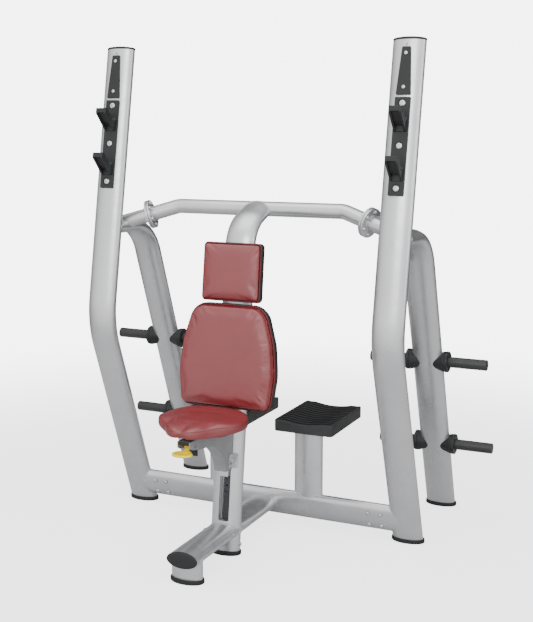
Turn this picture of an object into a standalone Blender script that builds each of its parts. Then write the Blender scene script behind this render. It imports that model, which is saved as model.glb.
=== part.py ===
"""Seated Olympic shoulder-press bench, as an assembly of separate solids.

Metres, +Z up, +X to the lifter's left hand side as seen from the front, front towards -Y.
Stations are measured from the line between the two front feet; the whole bench hangs
on one empty that puts its footprint's centre at the world origin.
"""

import math

import bmesh
import bpy
from mathutils import Matrix, Vector

# ---------------------------------------------------------------- driving dimensions
GAP = 0.0003                    # clearance kept between touching solids
CENTRE_SHIFT = 0.1260           # front-foot line to the middle of the footprint

OVAL_WIDE = 0.060               # half the wide axis of the main oval tube
OVAL_THIN = 0.030               # half its thin axis
OVAL_WALL = 0.003
RING = 16                       # sides of an oval tube
GROUND = 0.005                  # tube ends stand this high inside their rubber feet

HALF_SPAN = 0.587               # centre plane of each upright
FOOT_Y, KINK_Y, TOP_Y = 0.0, -0.305, -0.113
KINK_Z, TOP_Z = 0.8095, 1.866
KINK_RADIUS = 0.35

LEG_FOOT_Y = 0.460              # rear leg, leaning forward as it rises
LEG_SLOPE = 0.378
LEG_SHOULDER_Z = 1.177
LEG_END_Y = -0.231
LEG_RADIUS = 0.180

BAR_HALF_HEIGHT = 0.0595        # base crossbar section
BAR_HALF_DEPTH = 0.028
BAR_Z = 0.0920
SLEEVE_LENGTH = 0.120           # stub of each upright inside the crossbar
BAR_BOLT_X = (0.444, 0.494)
BAR_BOLT_RISE = 0.0266

POST_FOOT_Y = -0.4008           # centre post, leaning back
POST_SLOPE = 0.1235
POST_BEND_Z = 1.205
POST_RADIUS = 0.130
SLOT_HALF_WIDTH = 0.0213
SLOT_BOTTOM, SLOT_TOP = 0.123, 0.520

SPINE_Z = 0.090
SPINE_FRONT_Y = -0.728
SPINE_HALF_THIN = 0.0292
RISER_Y = -0.690

TOP_TUBE_RADIUS = 0.0283
TOP_TUBE_WALL = 0.003
TOP_MID = (0.345, -0.0985, 1.262)       # bend of the top tube, right-hand side
TOP_FLANGE = (0.455, -0.1307, 1.228)
TOP_END = (0.560, -0.1604, 1.1967)
FLANGE_RADIUS = 0.056
FLANGE_THICK = 0.008
FLANGE_BOLT_CIRCLE = 0.043
FLANGE_BOLTS = 6
FLANGE_SHIM = 0.0020

RACK_HALF_WIDTH = 0.028
RACK_BOTTOM, RACK_TOP = 1.334, 1.670
RACK_BOLT_Z = (1.3595, 1.504, 1.649)
HOOK_TOP_Z = (1.472, 1.640)
HOOK_HALF_WIDTH = 0.022
HOOK_CHEEK = 0.007
HOOK_REACH = 0.112              # lip of a hook, from the upright's centre line
RACK_PROUD = 0.036              # rack face, from the upright's centre line
GUARD_BOTTOM, GUARD_TOP = 1.678, 1.842
GUARD_BOLT_Z = (1.704, 1.8197)

HORN_Z = (0.299, 0.667)
HORN_RADIUS = 0.021
HORN_REACH = 0.234              # half the horn's length, through the leg

STEP_X, STEP_TOP = 0.184, 0.444
STEP_HALF_WIDTH, STEP_FRONT, STEP_BACK = 0.122, -0.098, 0.236
STEP_THICK = 0.045
STEP_POST_X, STEP_POST_Y = 0.188, -0.042

PLATE_PROUD = 0.036             # pad plates, ahead of the post's axis
BOARD_THICK = 0.012
PAD_PLATES = ((0.740, 0.080), (1.045, 0.050))   # height and half length of each
HEAD_Z, HEAD_PROUD = 1.040, 0.080
BACK_Z, BACK_PROUD = 0.740, 0.092

SEAT_Y, SEAT_TOP_Z, SEAT_UNDER_Z = -0.580, 0.570, 0.520
SEAT_HALF_WIDTH, SEAT_HALF_LENGTH = 0.163, 0.160
SEAT_FLAT = 0.090               # the cushion's underside is level this far ahead of its middle
SEAT_DROOP = 0.010              # and its nose is this much lower
CARRIAGE_HALF_WIDTH, CARRIAGE_TOP_Z = 0.025, 0.5075
CHEEK = 0.004                   # thickness of the carriage's front cheeks
LEVER_PIVOT = (-0.668, 0.484)
PIN_RADIUS = 0.004
PADDLE_X, PADDLE_Y, PADDLE_Z = 0.0, -0.717, 0.4665
PADDLE_WIDE, PADDLE_LONG = 0.037, 0.030
LOCK_Z, LOCK_RADIUS = 0.430, 0.0065
RACK_FACE = 0.010               # front of the index rack, ahead of the post's axis

UPRIGHT_SLOPE_LOW = (KINK_Y - FOOT_Y) / KINK_Z
UPRIGHT_SLOPE_HIGH = (TOP_Y - KINK_Y) / (TOP_Z - KINK_Z)
SIDES = (("left", -1), ("right", 1))


# ---------------------------------------------------------------- scene and materials
def clear_scene():
    for obj in list(bpy.data.objects):
        bpy.data.objects.remove(obj, do_unlink=True)


def new_collection(name):
    collection = bpy.data.collections.new(name)
    bpy.context.scene.collection.children.link(collection)
    return collection


def material(name, colour, metallic, roughness):
    made = bpy.data.materials.new(name)
    made.use_nodes = True
    shader = made.node_tree.nodes["Principled BSDF"]
    shader.inputs["Base Color"].default_value = (*colour, 1.0)
    shader.inputs["Metallic"].default_value = metallic
    shader.inputs["Roughness"].default_value = roughness
    return made


clear_scene()
PARTS = new_collection("press_bench")
CUTTERS = new_collection("cutters")

FINISHES = {
    "silver": ((0.55, 0.56, 0.58), 0.75, 0.38),
    "zinc": ((0.80, 0.80, 0.82), 1.0, 0.22),
    "rubber": ((0.030, 0.030, 0.032), 0.0, 0.75),
    "plastic": ((0.060, 0.062, 0.065), 0.0, 0.55),
    "vinyl": ((0.22, 0.028, 0.034), 0.0, 0.45),
    "board": ((0.020, 0.020, 0.022), 0.0, 0.60),
    "yellow": ((0.90, 0.72, 0.03), 0.0, 0.40),
    "steel": ((0.32, 0.33, 0.35), 1.0, 0.35),
}


def empty_at(name, location, rotation=(0.0, 0.0, 0.0), parent=None):
    made = bpy.data.objects.new(name, None)
    made.location = location
    made.rotation_euler = rotation
    made.parent = parent
    PARTS.objects.link(made)
    return made


def placing(empty):
    """An empty's place in bench coordinates, from its own location and rotation."""
    return Matrix.Translation(empty.location) @ empty.rotation_euler.to_matrix().to_4x4()


BENCH = empty_at("bench_origin", (0.0, CENTRE_SHIFT, 0.0))
POST_LEAN = math.atan(POST_SLOPE)


def post_point(z, ahead=0.0):
    """A point on the centre plane, `ahead` of the post's axis, square to it."""
    y = POST_FOOT_Y + POST_SLOPE * z
    return Vector((0.0, y - ahead * math.cos(POST_LEAN), z + ahead * math.sin(POST_LEAN)))


SEAT_SLIDE = empty_at("seat_slide_axis", post_point(0.33), (-POST_LEAN, 0.0, 0.0), BENCH)
LEVER_HINGE = empty_at("lever_hinge_axis", (0.0, *LEVER_PIVOT), (0.0, 0.0, 0.0), BENCH)
LEVER_HINGE.parent = SEAT_SLIDE
LEVER_HINGE.matrix_parent_inverse = placing(SEAT_SLIDE).inverted()


def add_part(name, mesh, finish, parent=BENCH, smooth=35.0):
    """Link a mesh, given in bench coordinates, as one named sub-part."""
    obj = bpy.data.objects.new(name, mesh)
    PARTS.objects.link(obj)
    colour, metallic, roughness = FINISHES[finish]
    mesh.materials.clear()
    mesh.materials.append(material(name + "_finish", colour, metallic, roughness))
    mesh.shade_smooth()
    mesh.set_sharp_from_angle(angle=math.radians(smooth))
    obj.parent = parent
    if parent is not BENCH:
        obj.matrix_parent_inverse = placing(parent).inverted()
    return obj


def add_cutter(name, mesh):
    obj = bpy.data.objects.new(name, mesh)
    CUTTERS.objects.link(obj)
    obj.parent = BENCH
    obj.hide_render = True
    obj.display_type = "WIRE"
    return obj


def boolean(obj, other, operation="DIFFERENCE"):
    modifier = obj.modifiers.new(operation.lower() + "_" + other.name, "BOOLEAN")
    modifier.operation = operation
    modifier.object = other
    modifier.solver = "EXACT"
    return modifier


# ---------------------------------------------------------------- shapes
def axes(x_axis, z_axis, origin=(0.0, 0.0, 0.0)):
    """A placing matrix whose Z is exactly `z_axis` and whose X is as near `x_axis` as it can be."""
    z = Vector(z_axis).normalized()
    y = z.cross(Vector(x_axis)).normalized()
    made = Matrix((y.cross(z), y, z)).transposed().to_4x4()
    made.translation = Vector(origin)
    return made


SIDE_PLANE = axes((0, 1, 0), (1, 0, 0))         # local X, Y, Z are bench Y, Z, X


def fillet(points, radii, steps=6):
    """A polyline with an arc of the given radius at each inner corner."""
    path = [Vector(points[0])]
    for index in range(1, len(points) - 1):
        corner = Vector(points[index])
        back = (Vector(points[index - 1]) - corner).normalized()
        ahead = (Vector(points[index + 1]) - corner).normalized()
        half = back.angle(ahead) / 2.0
        radius = radii[index - 1]
        centre = corner + (back + ahead).normalized() * (radius / math.sin(half))
        first = corner + back * (radius / math.tan(half)) - centre
        last = corner + ahead * (radius / math.tan(half)) - centre
        turn = first.rotation_difference(last)
        for step in range(steps + 1):
            part = turn.copy()
            part.angle = turn.angle * step / steps
            path.append(centre + part @ first)
    path.append(Vector(points[-1]))
    return path


def mesh_of_curve(curve, matrix):
    """The evaluated mesh of a curve, welded, with a placing matrix applied."""
    obj = bpy.data.objects.new("curve_guide", curve)
    CUTTERS.objects.link(obj)
    evaluated = obj.evaluated_get(bpy.context.evaluated_depsgraph_get())
    mesh = bpy.data.meshes.new_from_object(evaluated)
    bpy.data.objects.remove(obj, do_unlink=True)
    bm = bmesh.new()
    bm.from_mesh(mesh)
    bmesh.ops.remove_doubles(bm, verts=bm.verts, dist=0.00002)
    bmesh.ops.transform(bm, matrix=matrix, verts=bm.verts)
    bm.to_mesh(mesh)
    bm.free()
    return mesh


def oval_profile(semi_x, semi_y, sides):
    curve = bpy.data.curves.new("oval_profile", "CURVE")
    curve.dimensions = "2D"
    spline = curve.splines.new("POLY")
    spline.points.add(sides - 1)
    spline.use_cyclic_u = True
    for index, point in enumerate(spline.points):
        turn = 2.0 * math.pi * index / sides
        point.co = (semi_x * math.cos(turn), semi_y * math.sin(turn), 0.0, 1.0)
    return curve


def sweep(path, wide, thin, matrix, caps, sides=RING):
    """An oval carried along a path in its own XY plane, wide across that plane."""
    profile = bpy.data.objects.new("profile_guide", oval_profile(thin, wide, sides))
    CUTTERS.objects.link(profile)
    curve = bpy.data.curves.new("sweep_path", "CURVE")
    curve.dimensions = "3D"
    curve.twist_mode = "Z_UP"
    curve.bevel_mode = "OBJECT"
    curve.bevel_object = profile
    curve.use_fill_caps = caps
    spline = curve.splines.new("POLY")
    spline.points.add(len(path) - 1)
    for point, place in zip(spline.points, path):
        point.co = (*place, 1.0)
    mesh = mesh_of_curve(curve, matrix)
    bpy.data.objects.remove(profile, do_unlink=True)
    return mesh


def rod(path, wide, thin=None, matrix=SIDE_PLANE, sides=RING):
    """A solid oval or round bar along a path."""
    mesh = sweep(path, wide, thin if thin is not None else wide, matrix, True, sides)
    return outward(mesh)


def outward(mesh):
    bm = bmesh.new()
    bm.from_mesh(mesh)
    bmesh.ops.recalc_face_normals(bm, faces=bm.faces)
    bm.to_mesh(mesh)
    bm.free()
    return mesh


def walled(skin, wall, start):
    """An open skin around `start`, thickened inwards to a closed tube wall."""
    bm = bmesh.new()
    bm.from_mesh(skin)
    bm.faces.ensure_lookup_table()
    face = bm.faces[0]
    if face.normal.dot(face.calc_center_median() - start) < 0.0:
        bmesh.ops.reverse_faces(bm, faces=bm.faces)
    bm.to_mesh(skin)
    bm.free()
    obj = bpy.data.objects.new("skin_guide", skin)
    CUTTERS.objects.link(obj)
    solidify = obj.modifiers.new("wall", "SOLIDIFY")
    solidify.thickness = wall
    solidify.offset = -1.0
    solidify.use_even_offset = True
    evaluated = obj.evaluated_get(bpy.context.evaluated_depsgraph_get())
    mesh = bpy.data.meshes.new_from_object(evaluated)
    bpy.data.objects.remove(obj, do_unlink=True)
    return mesh


def tube(path, wide, thin, wall, matrix=SIDE_PLANE, sides=RING):
    """A hollow oval tube along a path."""
    skin = sweep(path, wide, thin, matrix, False, sides)
    return walled(skin, wall, matrix @ path[0])


def box(low, high, matrix=None):
    bm = bmesh.new()
    bmesh.ops.create_cube(bm, size=1.0)
    low, high = Vector(low), Vector(high)
    size = high - low
    bmesh.ops.scale(bm, vec=size, verts=bm.verts)
    bmesh.ops.translate(bm, vec=(low + high) / 2.0, verts=bm.verts)
    if matrix is not None:
        bmesh.ops.transform(bm, matrix=matrix, verts=bm.verts)
    mesh = bpy.data.meshes.new("box")
    bm.to_mesh(mesh)
    bm.free()
    return mesh


def soft_box(low, high, radius, segments, matrix=None, edges=None):
    """A box with rounded edges; `edges` picks them by a test on the edge's direction."""
    bm = bmesh.new()
    bm.from_mesh(box(low, high))
    chosen = [edge for edge in bm.edges if edges is None or edges(edge)]
    bmesh.ops.bevel(bm, geom=chosen, offset=radius, segments=segments, profile=0.5,
                    affect="EDGES", clamp_overlap=True)
    if matrix is not None:
        bmesh.ops.transform(bm, matrix=matrix, verts=bm.verts)
    mesh = bpy.data.meshes.new("soft_box")
    bm.to_mesh(mesh)
    bm.free()
    return mesh


def turned(profile, matrix, sides=16, twist=0.0):
    """A solid of revolution about local Z, from (radius, height) pairs, bottom to top."""
    matrix = matrix @ Matrix.Rotation(twist, 4, "Z")
    bm = bmesh.new()
    places = [(0.0, profile[0][1]), *profile, (0.0, profile[-1][1])]
    verts = [bm.verts.new((radius, 0.0, height)) for radius, height in places]
    edges = [bm.edges.new(pair) for pair in zip(verts, verts[1:])]
    bmesh.ops.spin(bm, geom=verts + edges, axis=(0, 0, 1), cent=(0, 0, 0), steps=sides,
                   angle=2.0 * math.pi, use_merge=True)
    bmesh.ops.remove_doubles(bm, verts=bm.verts, dist=0.00001)
    bmesh.ops.dissolve_degenerate(bm, edges=bm.edges, dist=0.00001)
    bmesh.ops.transform(bm, matrix=matrix, verts=bm.verts)
    bmesh.ops.recalc_face_normals(bm, faces=bm.faces)
    mesh = bpy.data.meshes.new("turned")
    bm.to_mesh(mesh)
    bm.free()
    return mesh


def joined(meshes, name="joined"):
    """Several meshes as one mesh of loose bodies, for a cutter."""
    bm = bmesh.new()
    for mesh in meshes:
        bm.from_mesh(mesh)
    made = bpy.data.meshes.new(name)
    bm.to_mesh(made)
    bm.free()
    return made


def plate(outline, thickness, matrix):
    """A flat outline, extruded half its thickness to each side of its plane."""
    curve = bpy.data.curves.new("outline", "CURVE")
    curve.dimensions = "2D"
    curve.fill_mode = "BOTH"
    curve.extrude = thickness / 2.0
    spline = curve.splines.new("POLY")
    spline.points.add(len(outline) - 1)
    spline.use_cyclic_u = True
    for point, place in zip(spline.points, outline):
        point.co = (place[0], place[1], 0.0, 1.0)
    return outward(mesh_of_curve(curve, matrix))


def rounded(points, radii, steps=4):
    """A closed outline of 2-D points with a rounded corner at each."""
    outline = []
    count = len(points)
    for index in range(count):
        corner = Vector((*points[index], 0.0))
        if radii[index] <= 0.0:
            outline.append(corner)
            continue
        before = Vector((*points[index - 1], 0.0))
        after = Vector((*points[(index + 1) % count], 0.0))
        arc = fillet([before, corner, after], [radii[index]], steps)
        outline.extend(arc[1:-1])
    return outline


def along_x(side, x, y, z):
    """Placing matrix of a turned piece whose axis runs outwards along X."""
    return axes((0, 1, 0), (side, 0, 0), (side * x, y, z))


GROUND_CUT = add_cutter("ground_cut", box((-0.9, -0.9, -0.2), (0.9, 0.7, GROUND)))


# ---------------------------------------------------------------- side frames
def upright_axis(z):
    """Bench Y of the upright's axis at a height, as if the kink were sharp."""
    if z < KINK_Z:
        return FOOT_Y + UPRIGHT_SLOPE_LOW * z
    return KINK_Y + UPRIGHT_SLOPE_HIGH * (z - KINK_Z)


def leg_axis(z):
    return LEG_FOOT_Y - LEG_SLOPE * z


def across(side):
    """Placing matrix of a side path, on the centre plane of one upright."""
    return axes((0, 1, 0), (1, 0, 0), (side * HALF_SPAN, 0, 0))


SUNK = -0.03
UPRIGHT_PATH = fillet([(upright_axis(SUNK), SUNK, 0), (KINK_Y, KINK_Z, 0), (TOP_Y, TOP_Z, 0)],
                      [KINK_RADIUS], 4)
LEG_CORNER = (leg_axis(LEG_SHOULDER_Z), LEG_SHOULDER_Z, 0)
LEG_PATH = fillet([(leg_axis(SUNK), SUNK, 0), LEG_CORNER, (LEG_END_Y, LEG_SHOULDER_Z + 0.006, 0)],
                  [LEG_RADIUS], 5)
BAR_LEAN = Vector((0.0, UPRIGHT_SLOPE_LOW, 1.0)).normalized()
BAR_NORMAL = Vector((1, 0, 0)).cross(BAR_LEAN)
BAR_CENTRE = Vector((0.0, upright_axis(BAR_Z), BAR_Z))
RACK_LEAN = Vector((0.0, UPRIGHT_SLOPE_HIGH, 1.0)).normalized()
RACK_NORMAL = Vector((1, 0, 0)).cross(RACK_LEAN)        # points to the front
BAR_AXES = axes((1, 0, 0), BAR_LEAN, BAR_CENTRE)


def rack_axes(side, z, proud=RACK_PROUD):
    """Local X across, Y to the front and Z up the leaning upright, from its centre line.

    The origin is level, along the lean, with the point at height `z` that stands `proud`.
    """
    station = z - proud * RACK_NORMAL.z
    return axes((-1, 0, 0), RACK_LEAN, (side * HALF_SPAN, upright_axis(station), station))


def bolt_matrix(place, direction):
    return axes((1, 0, 0) if abs(direction[0]) < 0.5 else (0, 1, 0), direction, place)


def bolt(place, direction, head_radius, head_height, shank_radius, shank_length, sides=6):
    """A bolt whose head's underside is at `place`, its shank running against `direction`."""
    profile = [(shank_radius, -shank_length), (shank_radius, 0.0), (head_radius, 0.0),
               (head_radius * 0.9, head_height)]
    return turned(profile, bolt_matrix(place, direction), sides)


def drill(place, direction, radius, depth, sides=6):
    profile = [(radius, -depth), (radius, depth)]
    return turned(profile, bolt_matrix(place, direction), sides, 0.113)


def united(meshes, name, finish, parent=BENCH):
    """One part made of overlapping shapes: the first, with the others joined to it."""
    obj = add_part(name, meshes[0], finish, parent)
    for index, mesh in enumerate(meshes[1:]):
        boolean(obj, add_cutter(f"{name}_add_{index}", mesh), "UNION")
    return obj


def side_frame(name, side):
    place = across(side)
    solid = add_cutter("upright_solid_" + name, rod(UPRIGHT_PATH, OVAL_WIDE + GAP,
                                                    OVAL_THIN + GAP, place))
    bore = rod(UPRIGHT_PATH, OVAL_WIDE - OVAL_WALL - GAP, OVAL_THIN - OVAL_WALL - GAP, place)
    lumen = add_cutter("upright_bore_" + name, bore)
    upright = add_part("upright_" + name, tube(UPRIGHT_PATH, OVAL_WIDE, OVAL_THIN, OVAL_WALL,
                                               place), "silver")
    inner = side * (HALF_SPAN - OVAL_WIDE - SLEEVE_LENGTH + 0.02)
    ends = [Vector((inner, 0, 0)), Vector((side * (HALF_SPAN - 0.005), 0, 0))]
    sleeve = add_cutter("sleeve_" + name, tube(ends, BAR_HALF_HEIGHT - 0.0045,
                                               BAR_HALF_DEPTH - 0.0045, 0.003, BAR_AXES))
    boolean(sleeve, lumen)
    boolean(upright, sleeve, "UNION")
    boolean(upright, GROUND_CUT)

    add_cutter("leg_solid_" + name, rod(LEG_PATH, OVAL_WIDE + GAP, OVAL_THIN + GAP, place))
    leg = add_part("rear_leg_" + name, tube(LEG_PATH, OVAL_WIDE, OVAL_THIN, OVAL_WALL, place),
                   "silver")
    boolean(leg, solid)
    boolean(leg, GROUND_CUT)
    return upright, leg, solid


def foot_cap(name, x, y, section):
    """A rubber cup that a tube's end stands in."""
    matrix = Matrix.Translation((x, y, 0.0)) @ Matrix.Diagonal((1.0, 0.585, 1.0, 1.0))
    profile = [(0.0635, 0.0), (0.0650, 0.003), (0.0645, 0.016)]
    cap = add_part("foot_cap_" + name, turned(profile, matrix, RING), "rubber")
    boolean(cap, section)


def stood(mesh, name):
    """A cutter that stops at the height where a tube's end stands."""
    solid = add_cutter(name, mesh)
    level = add_cutter(name + "_level", box((-0.9, -0.9, -0.2), (0.9, 0.7, GROUND - GAP)))
    boolean(solid, level)
    return solid


def horns(name, side, leg):
    """Two bars through the rear leg, each with a coned collar on both faces of the leg."""
    for level, z in zip(("lower", "upper"), HORN_Z):
        y = leg_axis(z)
        centre = along_x(side, HALF_SPAN, y, z)
        reach, edge = HORN_REACH, 0.002
        profile = [(HORN_RADIUS - edge, -reach), (HORN_RADIUS, edge - reach),
                   (HORN_RADIUS, reach - edge), (HORN_RADIUS - edge, reach)]
        label = f"{name}_{level}"
        add_part("weight_horn_" + label, turned(profile, centre, 14), "plastic")
        bore = add_cutter("horn_bore_" + label, turned([(HORN_RADIUS + GAP, -0.3),
                                                        (HORN_RADIUS + GAP, 0.3)], centre, 14))
        boolean(leg, bore)
        for face, way in (("outer", 1), ("inner", -1)):
            collar = [(0.0250, 0.018), (0.0275, 0.028), (0.0355, 0.052), (0.0400, 0.066),
                      (0.0410, 0.084)]
            base = along_x(way * side, way * HALF_SPAN, y, z)
            part = add_part(f"horn_collar_{label}_{face}", turned(collar, base, 12, 0.093), "plastic")
            boolean(part, bore)
            boolean(part, bpy.data.objects["leg_solid_" + name])


def rack_outline(half_top, half_bottom, low, high, radius):
    points = [(-half_bottom, low), (half_bottom, low), (half_top, high), (-half_top, high)]
    return rounded(points, [radius] * 4, 3)


def hook_profile():
    """Side view of a hook: (distance from the upright's axis, height from its lip's top)."""
    face, reach = RACK_PROUD - 0.004, HOOK_REACH
    points = [(face, -0.076), (RACK_PROUD + 0.008, -0.074), (reach, -0.021), (reach, -0.002),
              (reach - 0.002, 0.0), (reach - 0.013, 0.0), (reach - 0.016, -0.003),
              (RACK_PROUD + 0.032, -0.023)]
    turns = [math.pi * step / 6 for step in range(1, 6)]
    points += [(RACK_PROUD + 0.016 + 0.016 * math.cos(turn), -0.023 - 0.016 * math.sin(turn))
               for turn in turns]
    return points + [(RACK_PROUD + 0.0005, -0.023), (face, -0.023)]


def channel_profile():
    """The hollow between a hook's cheeks, open to the front and below."""
    far = HOOK_REACH + 0.02
    return [(RACK_PROUD + 0.004, -0.056), (RACK_PROUD + 0.034, -0.044),
            (HOOK_REACH - 0.010, -0.018), (far, -0.018), (far, -0.10),
            (RACK_PROUD + 0.004, -0.10)]


def hook_axes(side, z):
    """An outline drawn (forwards, up), standing across X, at a height of the rack."""
    lean = rack_axes(side, z, HOOK_REACH)
    placed = Matrix((RACK_NORMAL, RACK_LEAN, RACK_NORMAL.cross(RACK_LEAN))).transposed().to_4x4()
    placed.translation = lean.translation
    return placed


def racks(name, side, upright, solid):
    """The black rack with its two hooks, the guard above it, and their five bolts."""
    middle = (RACK_BOTTOM + RACK_TOP) / 2.0
    frame = rack_axes(side, middle)
    height = (RACK_TOP - RACK_BOTTOM) / 2.0 / RACK_LEAN.z
    lay = frame @ Matrix.Translation((0, (RACK_PROUD + 0.026) / 2.0, 0))
    lay = lay @ Matrix.Rotation(math.radians(90), 4, "X")
    backing = plate(rack_outline(RACK_HALF_WIDTH, RACK_HALF_WIDTH, -height, height, 0.003),
                    RACK_PROUD - 0.026, lay)
    meshes = [backing]
    channels = []
    for top in HOOK_TOP_Z:
        at = hook_axes(side, top)
        meshes.append(plate(hook_profile(), 2 * HOOK_HALF_WIDTH, at))
        channels.append(plate(channel_profile(), 2 * (HOOK_HALF_WIDTH - HOOK_CHEEK), at))
    rack = united(meshes, "rack_" + name, "plastic")
    boolean(rack, add_cutter("rack_channels_" + name, joined(channels)))
    boolean(rack, solid)

    g_middle = (GUARD_BOTTOM + GUARD_TOP) / 2.0
    g_height = (GUARD_TOP - GUARD_BOTTOM) / 2.0 / RACK_LEAN.z
    lay = rack_axes(side, g_middle) @ Matrix.Translation((0, (RACK_PROUD + 0.026) / 2.0, 0))
    lay = lay @ Matrix.Rotation(math.radians(90), 4, "X")
    guard = add_part("guard_" + name, plate(rack_outline(0.0155, 0.0265, -g_height, g_height,
                                                         0.003), RACK_PROUD - 0.026, lay),
                     "plastic")
    boolean(guard, solid)

    bolts, holes, sinks = [], [], []
    for z, head in [(z, 0.0115) for z in RACK_BOLT_Z] + [(z, 0.0065) for z in GUARD_BOLT_Z]:
        axis = rack_axes(side, z)
        seat = axis @ Vector((0, RACK_PROUD - (0.0027 if head > 0.01 else 0.0), 0))
        seat = seat + RACK_NORMAL * GAP
        bolts.append(bolt(seat, RACK_NORMAL, head, 0.005 if head > 0.01 else 0.003, 0.004, 0.018))
        holes.append(drill(seat, RACK_NORMAL, 0.0045, 0.030, 10))
        if head > 0.01:
            sinks.append(drill(seat + RACK_NORMAL * (0.02 - GAP), RACK_NORMAL, 0.0145, 0.02, 14))
    strip_low = rack_axes(side, RACK_BOLT_Z[0])
    length = (GUARD_BOLT_Z[1] - RACK_BOLT_Z[0]) / RACK_LEAN.z
    strip = box((-0.010, OVAL_THIN - OVAL_WALL - 0.007, -0.015),
                (0.010, OVAL_THIN - OVAL_WALL - 0.0015, length + 0.012), strip_low)
    drilled = add_cutter("rack_holes_" + name, joined(holes))
    sunk = add_cutter("rack_sinks_" + name, joined(sinks))
    boolean(rack, sunk)
    for obj in (rack, guard, upright):
        boolean(obj, drilled)
    united([strip, *bolts], "rack_bolts_" + name, "zinc")


def top_cap(name, side):
    """The domed end cap on top of an upright."""
    frame = rack_axes(side, TOP_Z, 0.0)
    matrix = frame @ Matrix.Diagonal((1.0, 0.515, 1.0, 1.0)) @ Matrix.Translation((0, 0, GAP))
    profile = [(0.0610, 0.0), (0.0615, 0.002), (0.0550, 0.005), (0.0300, 0.0075)]
    add_part("upright_cap_" + name, turned(profile, matrix, RING), "plastic")


# ---------------------------------------------------------------- top tube
def mirrored_x(side, point):
    return Vector((side * point[0], point[1], point[2]))


def disc(centre, direction, thickness, radius, sides=18):
    return turned([(radius, -thickness / 2.0), (radius, thickness / 2.0)],
                  bolt_matrix(centre, direction), sides, 0.071)


def round_tube(path, radius, wall, sides=12):
    """A round tube along any path in space."""
    curve = bpy.data.curves.new("round_path", "CURVE")
    curve.dimensions = "3D"
    curve.bevel_depth = radius
    curve.bevel_resolution = sides // 4 - 1
    spline = curve.splines.new("POLY")
    spline.points.add(len(path) - 1)
    for point, place in zip(spline.points, path):
        point.co = (*place, 1.0)
    return walled(mesh_of_curve(curve, Matrix.Identity(4)), wall, Vector(path[0]))


def flange_spots(centre, direction):
    """The six bolt places around a flange's centre."""
    base = bolt_matrix(centre, direction)
    for index in range(FLANGE_BOLTS):
        turn = 2.0 * math.pi * (index + 0.5) / FLANGE_BOLTS
        ring = Vector((math.cos(turn), math.sin(turn), 0.0)) * FLANGE_BOLT_CIRCLE
        yield base @ ring


def top_tube():
    """The bent tube between the side frames, its two stubs, flanges and bolt rings."""
    arm = (Vector(TOP_FLANGE) - Vector(TOP_MID)).normalized()
    set_back = FLANGE_SHIM / 2.0 + FLANGE_THICK / 2.0
    ends = [mirrored_x(side, Vector(TOP_FLANGE) - arm * set_back) for _, side in SIDES]
    path = fillet([ends[0], mirrored_x(-1, TOP_MID), mirrored_x(1, TOP_MID), ends[1]],
                  [0.06, 0.06], 4)
    middle, bores, holes = [round_tube(path, TOP_TUBE_RADIUS, TOP_TUBE_WALL)], [], []
    for name, side in SIDES:
        direction = mirrored_x(side, arm)
        joint = mirrored_x(side, TOP_FLANGE)
        middle.append(disc(joint - direction * set_back, direction, FLANGE_THICK, FLANGE_RADIUS))
        bore = add_cutter("flange_bore_" + name, drill(joint, direction, 0.022, 0.020, 14))
        hole = add_cutter("flange_holes_" + name,
                          joined([drill(spot, direction, 0.0050, 0.03, 6)
                                  for spot in flange_spots(joint, direction)]))
        bores.append(bore)
        holes.append(hole)
        near, far = joint + direction * set_back, mirrored_x(side, TOP_END)
        stub = united([round_tube([near, far], TOP_TUBE_RADIUS, TOP_TUBE_WALL),
                       disc(near, direction, FLANGE_THICK, FLANGE_RADIUS)],
                      "top_stub_" + name, "silver")
        for cutter in (bore, hole, bpy.data.objects["leg_solid_" + name]):
            boolean(stub, cutter)
        ring = disc(joint, direction, FLANGE_SHIM - 2 * GAP, FLANGE_BOLT_CIRCLE + 0.008)
        fasteners = united([ring, *[nutted_bolt(spot, direction)
                                    for spot in flange_spots(joint, direction)]],
                           "flange_bolts_" + name, "zinc")
        boolean(fasteners, add_cutter("ring_bore_" + name,
                                      drill(joint, direction, 0.030, 0.020, 16)))
    crossbar = united(middle, "top_crossbar", "silver")
    for cutter in bores + holes:
        boolean(crossbar, cutter)


def nutted_bolt(spot, direction):
    """A bolt through both flanges, with its head on one side and its nut on the other."""
    grip = FLANGE_SHIM / 2.0 + FLANGE_THICK + GAP
    profile = [(0.0070, -grip - 0.007), (0.0070, -grip), (0.0040, -grip), (0.0040, grip),
               (0.0070, grip), (0.0070, grip + 0.007)]
    return turned(profile, bolt_matrix(spot, direction), 6)


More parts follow.
